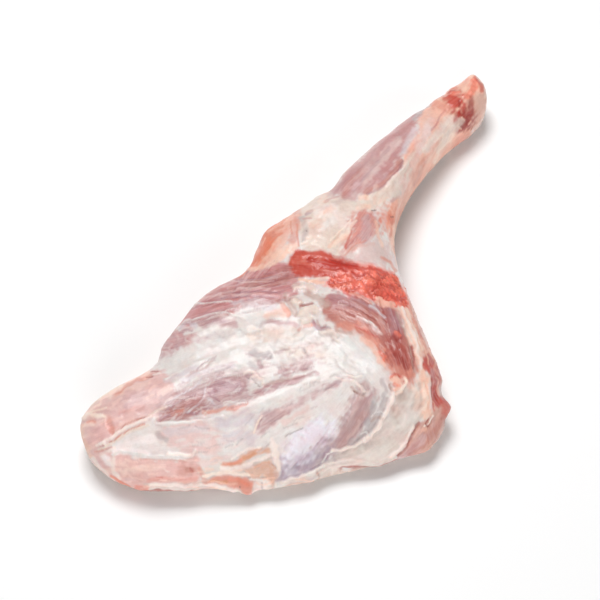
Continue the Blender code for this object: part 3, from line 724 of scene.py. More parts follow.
jointStrokes = (
    ("shadedFat", 6, 0.7, -0.5, ((308, 294), (318, 298), (326, 306))),
    ("shadedFat", 4, 0.7, -0.4, ((286, 294), (290, 304), (296, 314))),
    ("salmonFat", 3, 0.95, 0, ((298, 330), (306, 326), (314, 324))),
    ("creamFat", 5.5, 0.95, 1.7, ((294, 300), (298, 304))),
    ("creamFat", 5.5, 0.9, 1.3, ((302, 314), (309, 310), (316, 311))),
    ("creamFat", 4.5, 0.85, 1, ((303, 322), (310, 318))),
    ("creamFat", 4.4, 0.85, 1.4, ((294, 288), (302, 286))),
    ("creamFat", 4.4, 0.85, 1.2, ((308, 286), (314, 290))),
    ("yellowFat", 2, 0.7, 0.5, ((308, 281), (318, 279), (328, 278))),
    # painted shadow below and to the right of the cream lumps
    ("brownMeat", 2.2, 0.75, -0.5, ((300, 307), (305, 305), (312, 304))),
    ("maroon", 2.2, 0.3, -0.4, ((300, 308), (304, 306))),
    ("brownMeat", 2, 0.4, -0.4, ((317, 320), (321, 328), (325, 326))),
    ("plumMeat", 3.4, 0.75, -0.4, ((313, 322), (320, 328), (329, 330))),
    ("lilacSkin", 1.2, 0.8, 0.5, ((314, 327), (317, 330), (314, 333))),
    ("creamFat", 3.6, 0.9, 1.2, ((322, 334), (329, 332), (336, 336))),
    ("brightFat", 2.4, 0.8, 0.8, ((333, 338), (339, 341))),
    ("shadedFat", 3, 0.6, -0.4, ((336, 331), (343, 332), (350, 334))),
    ("shadedFat", 1.8, 0.5, -0.3, ((306, 342), (310, 343))),
    ("shadedFat", 1.8, 0.5, -0.3, ((304, 353), (307, 355))),
    ("coolSkin", 10, 0.95, 0, ((346, 344), (358, 354), (368, 366))),
    ("coolSkin", 8, 0.8, 0, ((340, 352), (352, 366), (366, 378))),
    ("jointMeat", 5, 0.7, 0.4, ((326, 312), (342, 314), (354, 320))),
    ("coralMeat", 2.4, 0.55, 0.2, ((356, 326), (366, 331), (376, 336))),
    ("peachFat", 4, 0.7, 0.2, ((362, 339), (371, 345), (378, 354))),
    ("maroon", 1.2, 0.7, -0.6, ((340, 303), (352, 306), (364, 312), (376, 320))),
    ("darkRed", 1.4, 0.7, -0.4, ((336, 309), (350, 313), (364, 321), (378, 331))),
    ("maroon", 1.1, 0.5, -0.5, ((356, 296), (368, 303), (380, 312), (386, 322))),
    ("brownMeat", 2.4, 0.6, 0.3, ((344, 300), (356, 303), (368, 309))),
    # pale bands painted as highlights across the joint muscle
    ("salmonFat", 2.2, 0.7, 0.4, ((350, 292), (360, 297), (371, 303))),
    ("lilacSkin", 2, 0.9, 0.5, ((370, 306), (378, 311), (385, 318))),
    ("pinkSkin", 2.8, 0.75, 0.5, ((357, 316), (366, 321), (374, 327), (381, 333))),
    ("whiteSkin", 1.2, 0.8, 0.4, ((364, 319), (371, 323), (376, 328))),
    ("shankRose", 3, 0.6, 0, ((380, 322), (384, 334), (388, 346))),
    ("maroon", 3, 0.7, -0.5, ((393, 336), (398, 339))),
    ("orangeRed", 2.2, 0.7, 0.5, ((395, 332), (400, 335))),
    ("maroon", 4, 0.6, -0.4, ((397, 354), (403, 361), (407, 367))),
    ("maroon", 1.5, 0.85, -0.8, ((411, 346), (414, 356), (414, 368))),
    ("shankRose", 1.8, 0.6, 0.3, ((402, 340), (408, 352), (410, 362))),
    ("orangeRed", 3, 0.75, 0.7, ((380, 353), (384, 357), (383, 362))),
    ("peachFat", 3, 0.8, 0.6, ((376, 352), (379, 360), (384, 366))),
    ("darkRed", 1.8, 0.35, -0.4, ((386, 352), (389, 360), (392, 366))),
    ("peachFat", 6, 0.95, 1.6, ((394, 379), (399, 384), (397, 389))),
    ("yellowFat", 2.4, 0.95, 0.8, ((403, 377), (407, 382), (402, 388), (396, 394))),
    ("coralMeat", 2.4, 0.7, 0.2, ((391, 377), (397, 375), (402, 377))),
    ("orangeRed", 2, 0.6, 0.2, ((394, 384), (399, 386))),
    ("shadedFat", 2, 0.7, -0.8, ((390, 384), (392, 390))),
    ("brightFat", 2.8, 1, 1.4, ((353, 382), (359, 386), (365, 391))),
    ("brightFat", 1.6, 0.9, 1.2, ((346, 375), (353, 377), (361, 376))),
    ("shadedFat", 2.4, 0.8, -1, ((352, 388), (357, 393), (364, 396))),
    ("fleck", 1.2, 0.3, -0.4, ((354, 391), (358, 394))),
    ("bellyMeat", 5, 0.5, -0.3, ((366, 384), (374, 390), (378, 398))),
    ("pinkSkin", 2, 0.7, 0.4, ((336, 378), (345, 381), (352, 380))),
)
nearStrokes = (
    ("brightFat", 2.4, 0.85, 0.7, ((402, 308), (411, 330), (418, 352), (421, 368))),
    ("shadedFat", 1.6, 0.6, -0.5, ((396, 312), (404, 330), (411, 350), (415, 372))),
    ("salmonFat", 3, 0.75, 0, ((408, 300), (416, 320), (425, 340), (432, 352))),
    ("brightFat", 1.6, 0.6, 0, ((404, 290), (412, 306), (420, 326), (428, 346))),
    ("coralMeat", 3, 0.7, 0.2, ((424, 364), (429, 370), (433, 366))),
    ("salmonFat", 3, 0.7, 0.2, ((426, 350), (433, 358), (437, 366))),
    ("darkRed", 3.4, 0.95, 0, ((435, 376), (437, 388), (438, 398))),
    ("maroon", 1.4, 0.6, -0.4, ((432, 378), (433, 392), (434, 402))),
    ("coralMeat", 7, 0.7, 0.5, ((444, 400), (447, 408), (445, 417))),
    ("edgeRed", 2, 0.6, 0, ((446, 400), (451, 408), (450, 416))),
    ("tanMeat", 8, 0.85, 0.4, ((436, 414), (441, 422), (434, 434), (424, 444))),
    ("brownMeat", 5, 0.4, 0, ((446, 420), (442, 430), (434, 438))),
    ("pinkSkin", 1.6, 0.9, 0.6, ((429, 384), (431, 396), (430, 408))),
    ("brightFat", 1.6, 0.9, 0.7, ((433, 416), (431, 424), (425, 426))),
    ("maroon", 1.4, 0.7, -0.5, ((429, 420), (427, 424), (430, 428))),
    ("mauveMeat", 7, 0.65, 0, ((424, 438), (414, 448), (402, 458))),
    ("peachFat", 4, 0.6, 0.4, ((414, 436), (420, 431), (426, 430))),
    ("brownMeat", 3, 0.35, 0, ((430, 440), (422, 448), (410, 455))),
    ("brownMeat", 2.4, 0.7, -0.7, ((420, 423), (414, 430), (411, 438), (406, 447), (398, 456))),
    ("brightFat", 2.4, 0.9, 0.8, ((413, 427), (408, 438), (401, 449), (391, 457))),
    ("shadedFat", 9, 0.35, -0.3, ((400, 396), (412, 396), (416, 406))),
    ("shadedFat", 5, 0.25, -0.3, ((396, 408), (400, 420))),
    ("yellowFat", 3, 0.7, 0.3, ((423, 384), (426, 398), (424, 410))),
    ("shadedFat", 2, 0.35, -0.2, ((419, 384), (421, 398), (419, 410))),
    ("warmFat", 4, 0.3, 0, ((414, 388), (417, 398), (416, 410))),
    ("coralMeat", 3.5, 0.5, 0, ((419, 318), (427, 334), (435, 352), (439, 366))),
    ("salmonFat", 4, 0.6, 0, ((413, 300), (420, 316), (428, 330))),
    ("coralMeat", 5, 0.5, 0, ((436, 368), (438, 384), (440, 396))),
)

# Pulls at the outline: pixel, radius in pixels, and how far the meat moves there, in pixels

pulls = {
    "notch in the near rim": ((330, 482), 12, (1, -8)),
    "near rim beside the notch": ((354, 476), 13, (-1, -4)),
    "rim below the slab": ((168, 494), 13, (0, -2)),
    "rim before the flap": ((208, 496), 13, (0, -3)),
    "flap below the crescents": ((248, 494), 7, (1, 3)),
    "rim right of the flap": ((300, 484), 10, (0, -1)),
    "lip before the notch": ((316, 482), 6, (1, 1)),
    "near meat below the bulge": ((446, 432), 14, (-5, -3)),
    "near edge above the bulge": ((443, 394), 8, (-4, 1)),
    "bulge": ((452, 407), 8, (3, 0)),
    "tip of the knuckle": ((473, 77), 5, (0, -3)),
    "shoulder of the knuckle": ((450, 88), 5, (-2, -1)),
    "top edge before the knuckle": ((436, 98), 7, (-1, -2)),
    "far corner of the blade": ((157, 345), 9, (-3, -2)),
    "corner of the elbow": ((266, 232), 9, (-3, -2)),
    "elbow meets the shank": ((330, 185), 9, (1, 3)),
}

# Stray fibres, drawn at random inside an outline and along the fibre lines: where, tissue, how many,
# length and half width in pixels, strength, rise in millimetres, how far they turn off the line

fibrePlaces = {
    "under the blade": (
        (157, 421), (160, 402), (180, 384), (214, 366), (258, 352), (318, 340), (326, 366), (296, 384),
        (256, 402), (212, 412), (182, 418),
    ),
    "across the far side": (
        (180, 330), (194, 304), (214, 288), (248, 275), (292, 268), (300, 284), (280, 304), (232, 316),
    ),
    "middle skin": (
        (172, 362), (196, 340), (240, 322), (300, 318), (340, 336), (386, 376), (376, 396), (330, 388),
        (318, 352), (258, 346), (214, 360),
    ),
    "lower skin": (
        (158, 430), (216, 416), (258, 404), (318, 378), (344, 388), (300, 424), (262, 452), (204, 458),
    ),
    "side of the shank": (
        (330, 200), (352, 164), (392, 128), (426, 104), (416, 128), (402, 158), (384, 182), (352, 196),
    ),
    "front of the shank": (
        (402, 240), (412, 206), (430, 178), (458, 142), (450, 118), (430, 120), (404, 160), (396, 196),
    ),
    "beside the joint": (
        (324, 300), (362, 298), (398, 312), (414, 350), (412, 380), (388, 362), (360, 334), (330, 318),
    ),
}
strayFibres = (
    ("under the blade", "whiteSkin", 110, 18, 1, 0.5, 0.15, 0.45),
    ("under the blade", "plumMeat", 60, 14, 1.4, 0.35, -0.15, 0.2),
    ("under the blade", "pinkMeat", 40, 16, 2, 0.4, 0, 0.15),
    ("across the far side", "plumMeat", 50, 44, 1, 0.4, -0.15, 0.03),
    ("across the far side", "pinkSkin", 36, 40, 1, 0.3, 0.1, 0.03),
    ("across the far side", "brownMeat", 24, 34, 1.8, 0.35, 0, 0.03),
    ("middle skin", "greySkin", 30, 14, 1.8, 0.25, -0.1, 0.5),
    ("middle skin", "whiteSkin", 60, 16, 2.4, 0.5, 0.15, 0.5),
    ("middle skin", "coolSkin", 24, 18, 4, 0.4, 0, 0.3),
    ("lower skin", "whiteSkin", 60, 20, 1.8, 0.45, 0.12, 0.3),
    ("lower skin", "pinkSkin", 40, 20, 2.2, 0.4, 0, 0.2),
    ("lower skin", "greySkin", 26, 20, 1.1, 0.35, -0.2, 0.2),
    ("side of the shank", "silverSkin", 16, 54, 3, 0.22, 0.04, 0.04),
    ("side of the shank", "plumMeat", 10, 54, 2.6, 0.16, 0, 0.04),
    ("front of the shank", "creamFat", 18, 36, 2.8, 0.35, 0.1, 0.06),
    ("front of the shank", "salmonFat", 16, 34, 1.8, 0.3, -0.08, 0.06),
    ("beside the joint", "maroon", 20, 24, 1.2, 0.22, -0.15, 0.08),
    ("beside the joint", "pinkSkin", 26, 14, 1, 0.4, 0.2, 0.12),
    ("beside the joint", "darkRed", 20, 24, 2, 0.25, 0, 0.1),
    ("elbow cream", "brightFat", 26, 18, 3.2, 0.4, 0.15, 0.4),
    ("elbow cream", "warmFat", 22, 18, 2, 0.3, -0.1, 0.3),
    ("elbow apricot", "warmFat", 14, 26, 1.5, 0.4, 0.15, 0.1),
    ("blade end", "endPeach", 30, 22, 2.4, 0.45, 0.1, 0.25),
    ("blade end", "pinkMeat", 20, 20, 2.4, 0.3, -0.08, 0.2),
    ("cut slab", "endPeach", 20, 18, 1.5, 0.45, 0.1, 0.1),
    ("cut slab", "slabSpot", 8, 12, 1.4, 0.2, -0.1, 0.2),
    ("lavender belly", "whiteSkin", 8, 22, 3, 0.3, 0, 0.15),
    ("pink belly", "pinkSkin", 10, 26, 2.6, 0.25, 0, 0.08),
    ("pink belly", "plumMeat", 8, 24, 2.6, 0.2, 0, 0.08),
    ("sheet fat", "shadedFat", 14, 26, 2.6, 0.18, -0.1, 0.15),
    ("sheet fat", "brightFat", 20, 24, 2.4, 0.35, 0.12, 0.2),
    ("near meat", "darkRed", 10, 16, 1.8, 0.25, -0.1, 0.15),
    ("near meat", "mauveMeat", 16, 18, 2.4, 0.35, 0.1, 0.15),
    ("far corner", "whiteSkin", 16, 12, 1.3, 0.5, 0.2, 0.5),
    ("far corner", "roseMeat", 12, 14, 2, 0.45, 0, 0.3),
    ("near salmon", "warmFat", 16, 18, 1.3, 0.5, 0.2, 0.12),
    ("near salmon", "edgeRed", 16, 12, 1.1, 0.4, -0.2, 0.12),
    ("near cream", "warmFat", 14, 20, 1.3, 0.5, -0.2, 0.1),
    ("coral muscle", "deepRed", 14, 20, 2.2, 0.35, 0, 0.12),
    ("crook muscle", "roseMeat", 14, 14, 1.1, 0.4, -0.2, 0.1),
    ("rim side", "warmFat", 24, 22, 1.3, 0.6, 0.2, 0.15),
    ("rim side", "pinkSkin", 20, 20, 1.6, 0.45, 0, 0.15),
)

# Fibre lines: muscle and fat fibres follow the nearest of these, in photograph pixels

fibreLines = (
    ((326, 208), (360, 176), (400, 138), (440, 104)),
    ((398, 246), (408, 198), (430, 156), (462, 118)),
    ((246, 272), (275, 236), (310, 212), (345, 204)),
    ((186, 314), (230, 299), (292, 284)),
    ((160, 358), (215, 340), (280, 326), (330, 322)),
    ((158, 398), (206, 376), (262, 364), (322, 352)),
    ((158, 420), (205, 402), (260, 389), (316, 372)),
    ((238, 418), (280, 398), (320, 378)),
    ((255, 432), (285, 412), (314, 398)),
    ((290, 472), (312, 440), (342, 402)),
    ((332, 452), (352, 424), (368, 394)),
    ((324, 300), (350, 308), (372, 322), (388, 348)),
    ((392, 316), (402, 345), (412, 374)),
    ((405, 298), (420, 340), (433, 380), (441, 412)),
    ((324, 470), (360, 456), (396, 430), (418, 398)),
    ((288, 261), (325, 264), (362, 270)),
    ((84, 424), (118, 406), (156, 390)),
    ((114, 468), (155, 471), (200, 469)),
    ((102, 446), (150, 430), (218, 424)),
    ((140, 490), (200, 490), (260, 488), (320, 476)),
    ((346, 254), (362, 232), (374, 212)),
    ((340, 336), (360, 356), (384, 382)),
)

allStrokes = (
    shankStrokes
    + elbowStrokes
    + farStrokes
    + fasciaStrokes
    + lowerStrokes
    + endStrokes
    + rimStrokes
    + jointStrokes
    + nearStrokes
    + bloodStrokes
)

skin = {
    # the mesh, in millimetres
    "mergeWithin": 0.01,
    "pointSpacing": 1.75,  # the side towards the camera is divided once more
    "smoothings": 5,
    "lastSmoothings": 2,
    "finerPast": 0.1,  # how far past the rim of what the camera sees the finer part goes on
    # the edges of areas and strokes, in pixels of the photograph
    "seenPast": 0.45,  # how far past that rim the strokes go on, and over what they fade
    "seenFade": 0.35,
    "wander": (7.0, 1.3, 1),  # the edges stray over this length, by this much, and a seed
    "broadWander": (16.0, 3.0, 3),
    "areaMargin": 3,  # how far past an area or a stroke its points are looked for
    "strokeMargin": 1.5,
    "strokeSoftness": 0.7,
    "strokeRise": 0.75,
    "steadyBelow": 3,  # strokes narrower than this stray less
    "feather": 0.8,  # how far the fibres fray a soft edge
    "fray": (0.6, 2.6, 25),  # share of strands and of noise, with its length and seed
    "frayFrom": 2,  # half width from which strokes fray, over how many pixels more, and the most
    "frayOver": 12,
    "frayMost": 0.4,
    "curveSteps": 4,
    # fibres, in millimetres unless it says pixels
    "lineReach": 120.0,  # pixels that fibre lines run on past their ends
    "millimetresPerPixel": 0.6,
    "flowSpacing": 60.0,
    "strand": (14.0, 1.5, 24),  # length, width, seed
    "fibreDepth": 0.14,
    "fibreSeed": 7,
    "fibreLengths": (0.3, 0.8),  # ranges of the random draws for stray fibres
    "fibreCurl": 0.12,
    "fibreWidths": (0.8, 1.3),
    "fibreStrengths": (0.5, 1.0),
    # patches of tissue on the sides that the photograph hides
    "patches": (26.0, 11),  # length, seed
    "smallPatches": (9.0, 12),
    "smallShare": 0.5,
    "fleshPatches": (0.2, 1.4),  # lift, contrast
    "fatPatches": (-0.1, 1.0),
    "webPatches": (0.0, 1.5, 17.0, 13),  # lift, contrast, length, seed
    "barePatches": (-1.0, 2.0, 20.0, 14),
    "hiddenStrengths": (1.0, 0.8, 0.6, 0.95, 0.6, 0.5, 1.0),  # in the order in which they are laid
    "underFrom": 0.25,  # how far a face may look up and still be underneath, and over what it fades
    "underFade": 0.6,
    "underHeight": 60,
    # clots in bloodied tissue
    "clotFrom": 0.6,  # lumps from which tissue is clotted
    "clotFade": 6,
    "clotSize": 2.4,
    "clotTear": (2.6, 1.3),  # the clots are torn over this length, by this much
    "clotTearSeeds": (41, 42, 43),
    "partingSharpness": 2.2,
    "deepClots": (0.6, 1.3, 5.0, 44),
    "paleClots": (0.3, 1.6, 4.0, 45),
    "bloodClots": (0.2, -1.5, 6.0, 47),
    "clotLevel": 0.7,
    "clotLeast": 0.3,
    "clotRoughness": (0.35, 1.6, 46),
    "pitShadeStrength": 0.45,
    "bloodStrength": 0.45,
    "paleStrength": 0.75,
    # unevenness that every tissue has
    "unevenness": 0.06,
    "unevenNoise": ((7.0, 31), (2.4, 32)),
    "bloodTint": (0.0, -0.06, -0.055),
    "bloodTintPatches": (0.0, 1.0, 11.0, 33),
    # relief, in millimetres
    "swell": (0.45, 15.0, 21),  # depth, length, seed
    "lumps": ((0.6, 3.4, 22), (0.45, 1.7, 23)),
    "levelling": 14,
    # painted shade in the hollows of the relief, and painted highlight on its ridges
    "hollowShade": (0.2, 0.36, 0.36),  # share of red, green and blue lost for each millimetre down
    "ridgeLight": (0.06, 0.09, 0.09),
    "deepestHollow": 1.0,
    "highestRidge": 0.6,
    "restingHeight": 3.0,  # below this the relief fades out, so that the meat lies flat
    # the noise itself
    "noiseShift": (7.31, 3.17, 5.71),
    "noiseGain": 1.6,
}


def roundedSkin():
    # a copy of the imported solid, merged, rounded and remeshed evenly, then finer where it shows
    shape = bmesh.new()
    shape.from_mesh(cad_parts["lamb_shoulder"].data)
    bmesh.ops.remove_doubles(shape, verts=shape.verts, dist=skin["mergeWithin"] * mm)
    mesh = bpy.data.meshes.new("lambSkin")
    shape.to_mesh(mesh)
    shape.free()
    piece = bpy.data.objects.new("lambSkin", mesh)
    scene.collection.objects.link(piece)
    rounding = piece.modifiers.new("rounding", "SUBSURF")
    rounding.levels = rounding.render_levels = 1
    even = piece.modifiers.new("even", "REMESH")
    even.mode = "VOXEL"
    even.voxel_size = skin["pointSpacing"] * mm
    evaluated = piece.evaluated_get(bpy.context.evaluated_depsgraph_get())
    fine = bpy.data.meshes.new_from_object(evaluated)
    piece.modifiers.clear()
    piece.data = fine
    bpy.data.meshes.remove(mesh)
    fine.name = "lambSkin"
    shape = bmesh.new()
    shape.from_mesh(fine)
    shape.normal_update()
    smooth(shape, skin["smoothings"])
    towards = Vector(towardsCamera)
    shown = [face for face in shape.faces if face.normal.dot(towards) > -skin["finerPast"]]
    edges = list({edge for face in shown for edge in face.edges})
    bmesh.ops.subdivide_edges(shape, edges=edges, cuts=1, use_grid_fill=True)
    smooth(shape, skin["lastSmoothings"])
    bmesh.ops.recalc_face_normals(shape, faces=shape.faces)
    shape.to_mesh(fine)
    shape.free()
    fine.shade_smooth()
    return piece


def smooth(shape, passes):
    for _ in range(passes):
        bmesh.ops.smooth_vert(
            shape, verts=shape.verts, factor=0.5, use_axis_x=True, use_axis_y=True, use_axis_z=True
        )


def softStep(values):
    share = np.clip(values, 0, 1)
    return share * share * (3 - 2 * share)


def noiseAt(places, length, seed):
    # soft noise from about -1 to 1 that changes over this length
    scaled = places / length
    if scaled.shape[1] == 2:
        scaled = np.column_stack([scaled, np.zeros(len(scaled))])
    shift = Vector([seed * step for step in skin["noiseShift"]])
    return np.array([noise.noise(Vector(place) + shift) for place in scaled]) * skin["noiseGain"]


def patchy(places, lift, contrast, length, seed):
    # soft patches, from 0 to 1
    return softStep(lift + contrast * noiseAt(places, length, seed))


def curveThrough(points, closed=False):
    # more points on a smooth curve through these
    steps = skin["curveSteps"]
    given = np.array(points, float)
    count = len(given)
    if closed:
        ring = [given[i % count] for i in range(-1, count + 2)]
    else:
        ring = [2 * given[0] - given[1], *given, 2 * given[-1] - given[-2]]
    curve = []
    for before, start, end, after in zip(ring, ring[1:], ring[2:], ring[3:]):
        for step in range(steps):
            t = step / steps
            rising = (end - before) * t
            bending = (2 * before - 5 * start + 4 * end - after) * t**2
            turning = (3 * start - before - 3 * end + after) * t**3
            curve.append(0.5 * (2 * start + rising + bending + turning))
    if not closed:
        curve.append(given[-1])
    return np.array(curve)


def nearestOnLine(points, line):
    # for each point: distance to the line, how far along it, and on which side
    best = np.full(len(points), np.inf)
    along = np.zeros(len(points))
    side = np.zeros(len(points))
    run = 0.0
    for start, end in zip(line[:-1], line[1:]):
        step = end - start
        length = max(float(np.hypot(*step)), 1e-6)
        offset = points - start
        share = np.clip(offset @ step / length**2, 0, 1)
        gap = offset - share[:, None] * step
        distance = np.hypot(gap[:, 0], gap[:, 1])
        closer = distance < best
        best = np.where(closer, distance, best)
        along = np.where(closer, run + share * length, along)
        cross = step[0] * offset[:, 1] - step[1] * offset[:, 0]
        side = np.where(closer, np.sign(cross), side)
        run += length
    return best, along, side


def insideOutline(points, outline):
    # whether each point is inside a closed outline
    inside = np.zeros(len(points), bool)
    for start, end in zip(outline, np.roll(outline, -1, axis=0)):
        spans = (start[1] > points[:, 1]) != (end[1] > points[:, 1])
        reach = (end[0] - start[0]) * (points[:, 1] - start[1]) / (end[1] - start[1] + 1e-9) + start[0]
        inside ^= spans & (points[:, 0] < reach)
    return inside


def fibreCurves():
    # the fibre lines as smooth curves, and the same curves run on straight past both ends
    curves = []
    for line in fibreLines:
        curve = curveThrough(line)
        first, last = curve[0] - curve[1], curve[-1] - curve[-2]
        first *= skin["lineReach"] / np.hypot(*first)
        last *= skin["lineReach"] / np.hypot(*last)
        curves.append((curve, np.vstack([curve[0] + first, curve, curve[-1] + last])))
    return curves


def flowPlaces(points, lineOfPoint, curves):
    # millimetres along and across the fibres, from the fibre line that each point follows
    flow = np.zeros((len(points), 2))
    for index, (_, line) in enumerate(curves):
        chosen = np.where(lineOfPoint == index)[0]
        distance, along, side = nearestOnLine(points[chosen], line)
        flow[chosen, 0] = along * skin["millimetresPerPixel"] + index * skin["flowSpacing"]
        flow[chosen, 1] = distance * side * skin["millimetresPerPixel"]
    return flow


class Paint:
    # what every point of the skin is made of, and how far it is raised
    def __init__(self, places, normals):
        self.places = places
        self.normals = normals
        self.photo = toPhoto(places)
        self.curves = fibreCurves()
        self.seen = softStep((normals @ towardsCamera + skin["seenPast"]) / skin["seenFade"])
        self.make = np.zeros((len(places), 6))  # red, green, blue, fibre, gloss, lumps
        self.raised = np.zeros(len(places))
        self.fine = self.stray(*skin["wander"])
        self.broad = self.fine + self.stray(*skin["broadWander"])
        self.lineOfPoint = np.argmin(
            [nearestOnLine(self.photo + self.broad, short)[0] for short, _ in self.curves], axis=0
        )
        strandLength, strandWidth, strandSeed = skin["strand"]
        flow = flowPlaces(self.photo, self.lineOfPoint, self.curves)
        self.strands = noiseAt(flow / (strandLength, strandWidth), 1.0, strandSeed)
        share, length, seed = skin["fray"]
        self.fray = share * self.strands + share * noiseAt(places / mm, length, seed)

    def stray(self, length, amount, seed):
        across = noiseAt(self.photo, length, seed)
        down = noiseAt(self.photo, length, seed + 1)
        return np.stack([across, down], axis=1) * amount

    def lay(self, tissue, share, chosen=slice(None)):
        look = np.array([*linearColour(tissues[tissue][0])[:3], *tissues[tissue][1:]])
        self.make[chosen] += (look - self.make[chosen]) * share[:, None]

    def nearby(self, line, reach):
        low, high = line.min(axis=0) - reach, line.max(axis=0) + reach
        across, down = self.photo.T
        inside = (across > low[0]) & (across < high[0]) & (down > low[1]) & (down < high[1])
        return np.where(inside & (self.seen > 0))[0]

    def area(self, tissue, strength, softness, outline, rise=0.0):
        curve = curveThrough(outline, closed=True)
        chosen = self.nearby(curve, softness * skin["areaMargin"] + skin["broadWander"][1] * 2)
        points = self.photo[chosen] + self.broad[chosen]
        edge = nearestOnLine(points, np.vstack([curve, curve[:1]]))[0]
        depth = np.where(insideOutline(points, curve), edge, -edge)
        depth += self.fray[chosen] * softness * skin["feather"]
        share = softStep(0.5 + depth / softness / 2) * self.seen[chosen]
        self.lay(tissue, share * strength, chosen)
        self.raised[chosen] += rise * share

    def stroke(self, tissue, width, strength, rise, points):
        curve = curveThrough(points)
        chosen = self.nearby(curve, width * skin["strokeMargin"] + skin["wander"][1])
        strayed = self.photo[chosen] + self.fine[chosen] * min(1.0, width / skin["steadyBelow"])
        distance = nearestOnLine(strayed, curve)[0] / width
        frayed = np.clip((width - skin["frayFrom"]) / skin["frayOver"], 0, skin["frayMost"])
        distance += self.fray[chosen] * skin["feather"] * frayed
        share = softStep((1 - distance) / skin["strokeSoftness"]) * self.seen[chosen]
        self.lay(tissue, share * strength, chosen)
        self.raised[chosen] += rise * share * skin["strokeRise"]

    def hiddenSides(self):
        # thin fat over pink meat on the flanks, and the cream fat cap that it lies on
        places = self.places / mm
        everywhere = np.ones(len(places))
        small = skin["smallShare"] * noiseAt(places, *skin["smallPatches"])
        patches = noiseAt(places, *skin["patches"]) + small
        fleshLift, fleshContrast = skin["fleshPatches"]
        fatLift, fatContrast = skin["fatPatches"]
        facingUp = self.normals[:, 2] + places[:, 2] / skin["underHeight"]
        under = softStep((skin["underFrom"] - facingUp) / skin["underFade"])
        layers = (
            ("warmFat", everywhere),
            ("freshMeat", softStep(patches * fleshContrast + fleshLift)),
            ("pinkSkin", patchy(places, *skin["webPatches"])),
            ("creamFat", under),
            ("warmFat", under * softStep(patches * fatContrast + fatLift)),
            ("pinkMeat", under * patchy(places, *skin["barePatches"])),
            ("whiteSkin", self.seen),
        )
        for (tissue, share), strength in zip(layers, skin["hiddenStrengths"]):
            self.lay(tissue, share * strength)

    def strayFibre(self, draw, outline, tissue, length, width, strength, rise, turn):
        # one short stroke at a random place inside the outline
        low, high = outline.min(axis=0), outline.max(axis=0)
        middle = draw.uniform(low, high)
        while not insideOutline(middle[None], outline)[0]:
            middle = draw.uniform(low, high)
        nearest = int(np.argmin([nearestOnLine(middle[None], short)[0][0] for short, _ in self.curves]))
        line = self.curves[nearest][1]
        steps = np.diff(line, axis=0)
        reach = np.hypot(*(line[:-1] + steps / 2 - middle).T)
        heading = steps[int(np.argmin(reach))]
        angle = math.atan2(heading[1], heading[0]) + draw.normal(0, turn)
        half = length * draw.uniform(*skin["fibreLengths"]) / 2
        forward = np.array([math.cos(angle), math.sin(angle)])
        sideways = np.array([-forward[1], forward[0]]) * draw.normal(0, skin["fibreCurl"]) * half
        points = (middle - forward * half, middle + sideways, middle + forward * half)
        width *= draw.uniform(*skin["fibreWidths"])
        strength *= draw.uniform(*skin["fibreStrengths"])
        self.stroke(tissue, width, strength, rise, points)

    def clots(self):
        # bloodied tissue is a mass of torn clots, with painted shade where they part and a paler painted
        # highlight on top
        lumps = self.make[:, 5]
        chosen = np.where(lumps > skin["clotFrom"])[0]
        places = self.places[chosen] / mm
        tearLength, tearReach = skin["clotTear"]
        torn = np.stack([noiseAt(places, tearLength, seed) for seed in skin["clotTearSeeds"]], axis=1)
        gaps = [noise.voronoi(Vector(p))[0][:2] for p in (places + tearReach * torn) / skin["clotSize"]]
        parting = softStep(np.diff(np.array(gaps), axis=1)[:, 0] * skin["partingSharpness"])
        amount = softStep((lumps[chosen] - skin["clotFrom"]) * skin["clotFade"])
        deep = patchy(places, *skin["deepClots"])
        pale = patchy(places, *skin["paleClots"])
        least = skin["clotLeast"]
        self.raised[chosen] += amount * (parting - skin["clotLevel"]) * (least + (1 - least) * deep)
        depth, length, seed = skin["clotRoughness"]
        self.raised[chosen] += amount * depth * noiseAt(places, length, seed)
        self.lay("shadedPit", amount * (1 - parting) * deep * skin["pitShadeStrength"], chosen)
        blood = patchy(places, *skin["bloodClots"])
        self.lay("deepRed", amount * blood * skin["bloodStrength"], chosen)
        self.lay("orangeRed", amount * parting * pale * skin["paleStrength"], chosen)

    def weather(self):
        # no tissue is of one even colour, and some patches are a little redder
        places = self.places / mm
        uneven = sum(noiseAt(places, *row) for row in skin["unevenNoise"]) / 2
        self.make[:, :3] *= 1 + skin["unevenness"] * uneven[:, None]
        redder = np.array(skin["bloodTint"]) * patchy(places, *skin["bloodTintPatches"])[:, None]
        self.make[:, :3] = np.clip(self.make[:, :3] * (1 + redder), 0.0, 1.0)


def cavities(mesh, rise):
    # how far every point stands above the skin around it, in millimetres
    ends = np.zeros(len(mesh.edges) * 2, np.int32)
    mesh.edges.foreach_get("vertices", ends)
    first, second = ends.reshape(-1, 2).T
    count = len(mesh.vertices)
    neighbours = np.bincount(first, minlength=count) + np.bincount(second, minlength=count)
    level = rise.copy()
    for _ in range(skin["levelling"]):
        total = np.bincount(first, level[second], count) + np.bincount(second, level[first], count)
        level = (level + total / np.maximum(neighbours, 1)) / 2
    return rise - level


def fibreFlow(mesh, paint):
    # a UV map in millimetres along and across the fibres
    corners = np.zeros(len(mesh.loops), np.int32)
    mesh.loops.foreach_get("vertex_index", corners)
    starts = np.zeros(len(mesh.polygons), np.int32)
    totals = np.zeros(len(mesh.polygons), np.int32)
    mesh.polygons.foreach_get("loop_start", starts)
    mesh.polygons.foreach_get("loop_total", totals)
    lineOfCorner = np.repeat(paint.lineOfPoint[corners[starts]], totals)
    flow = flowPlaces(paint.photo[corners], lineOfCorner, paint.curves)
    mesh.uv_layers.new(name="fibreFlow").data.foreach_set("uv", flow.astype(np.float32).ravel())


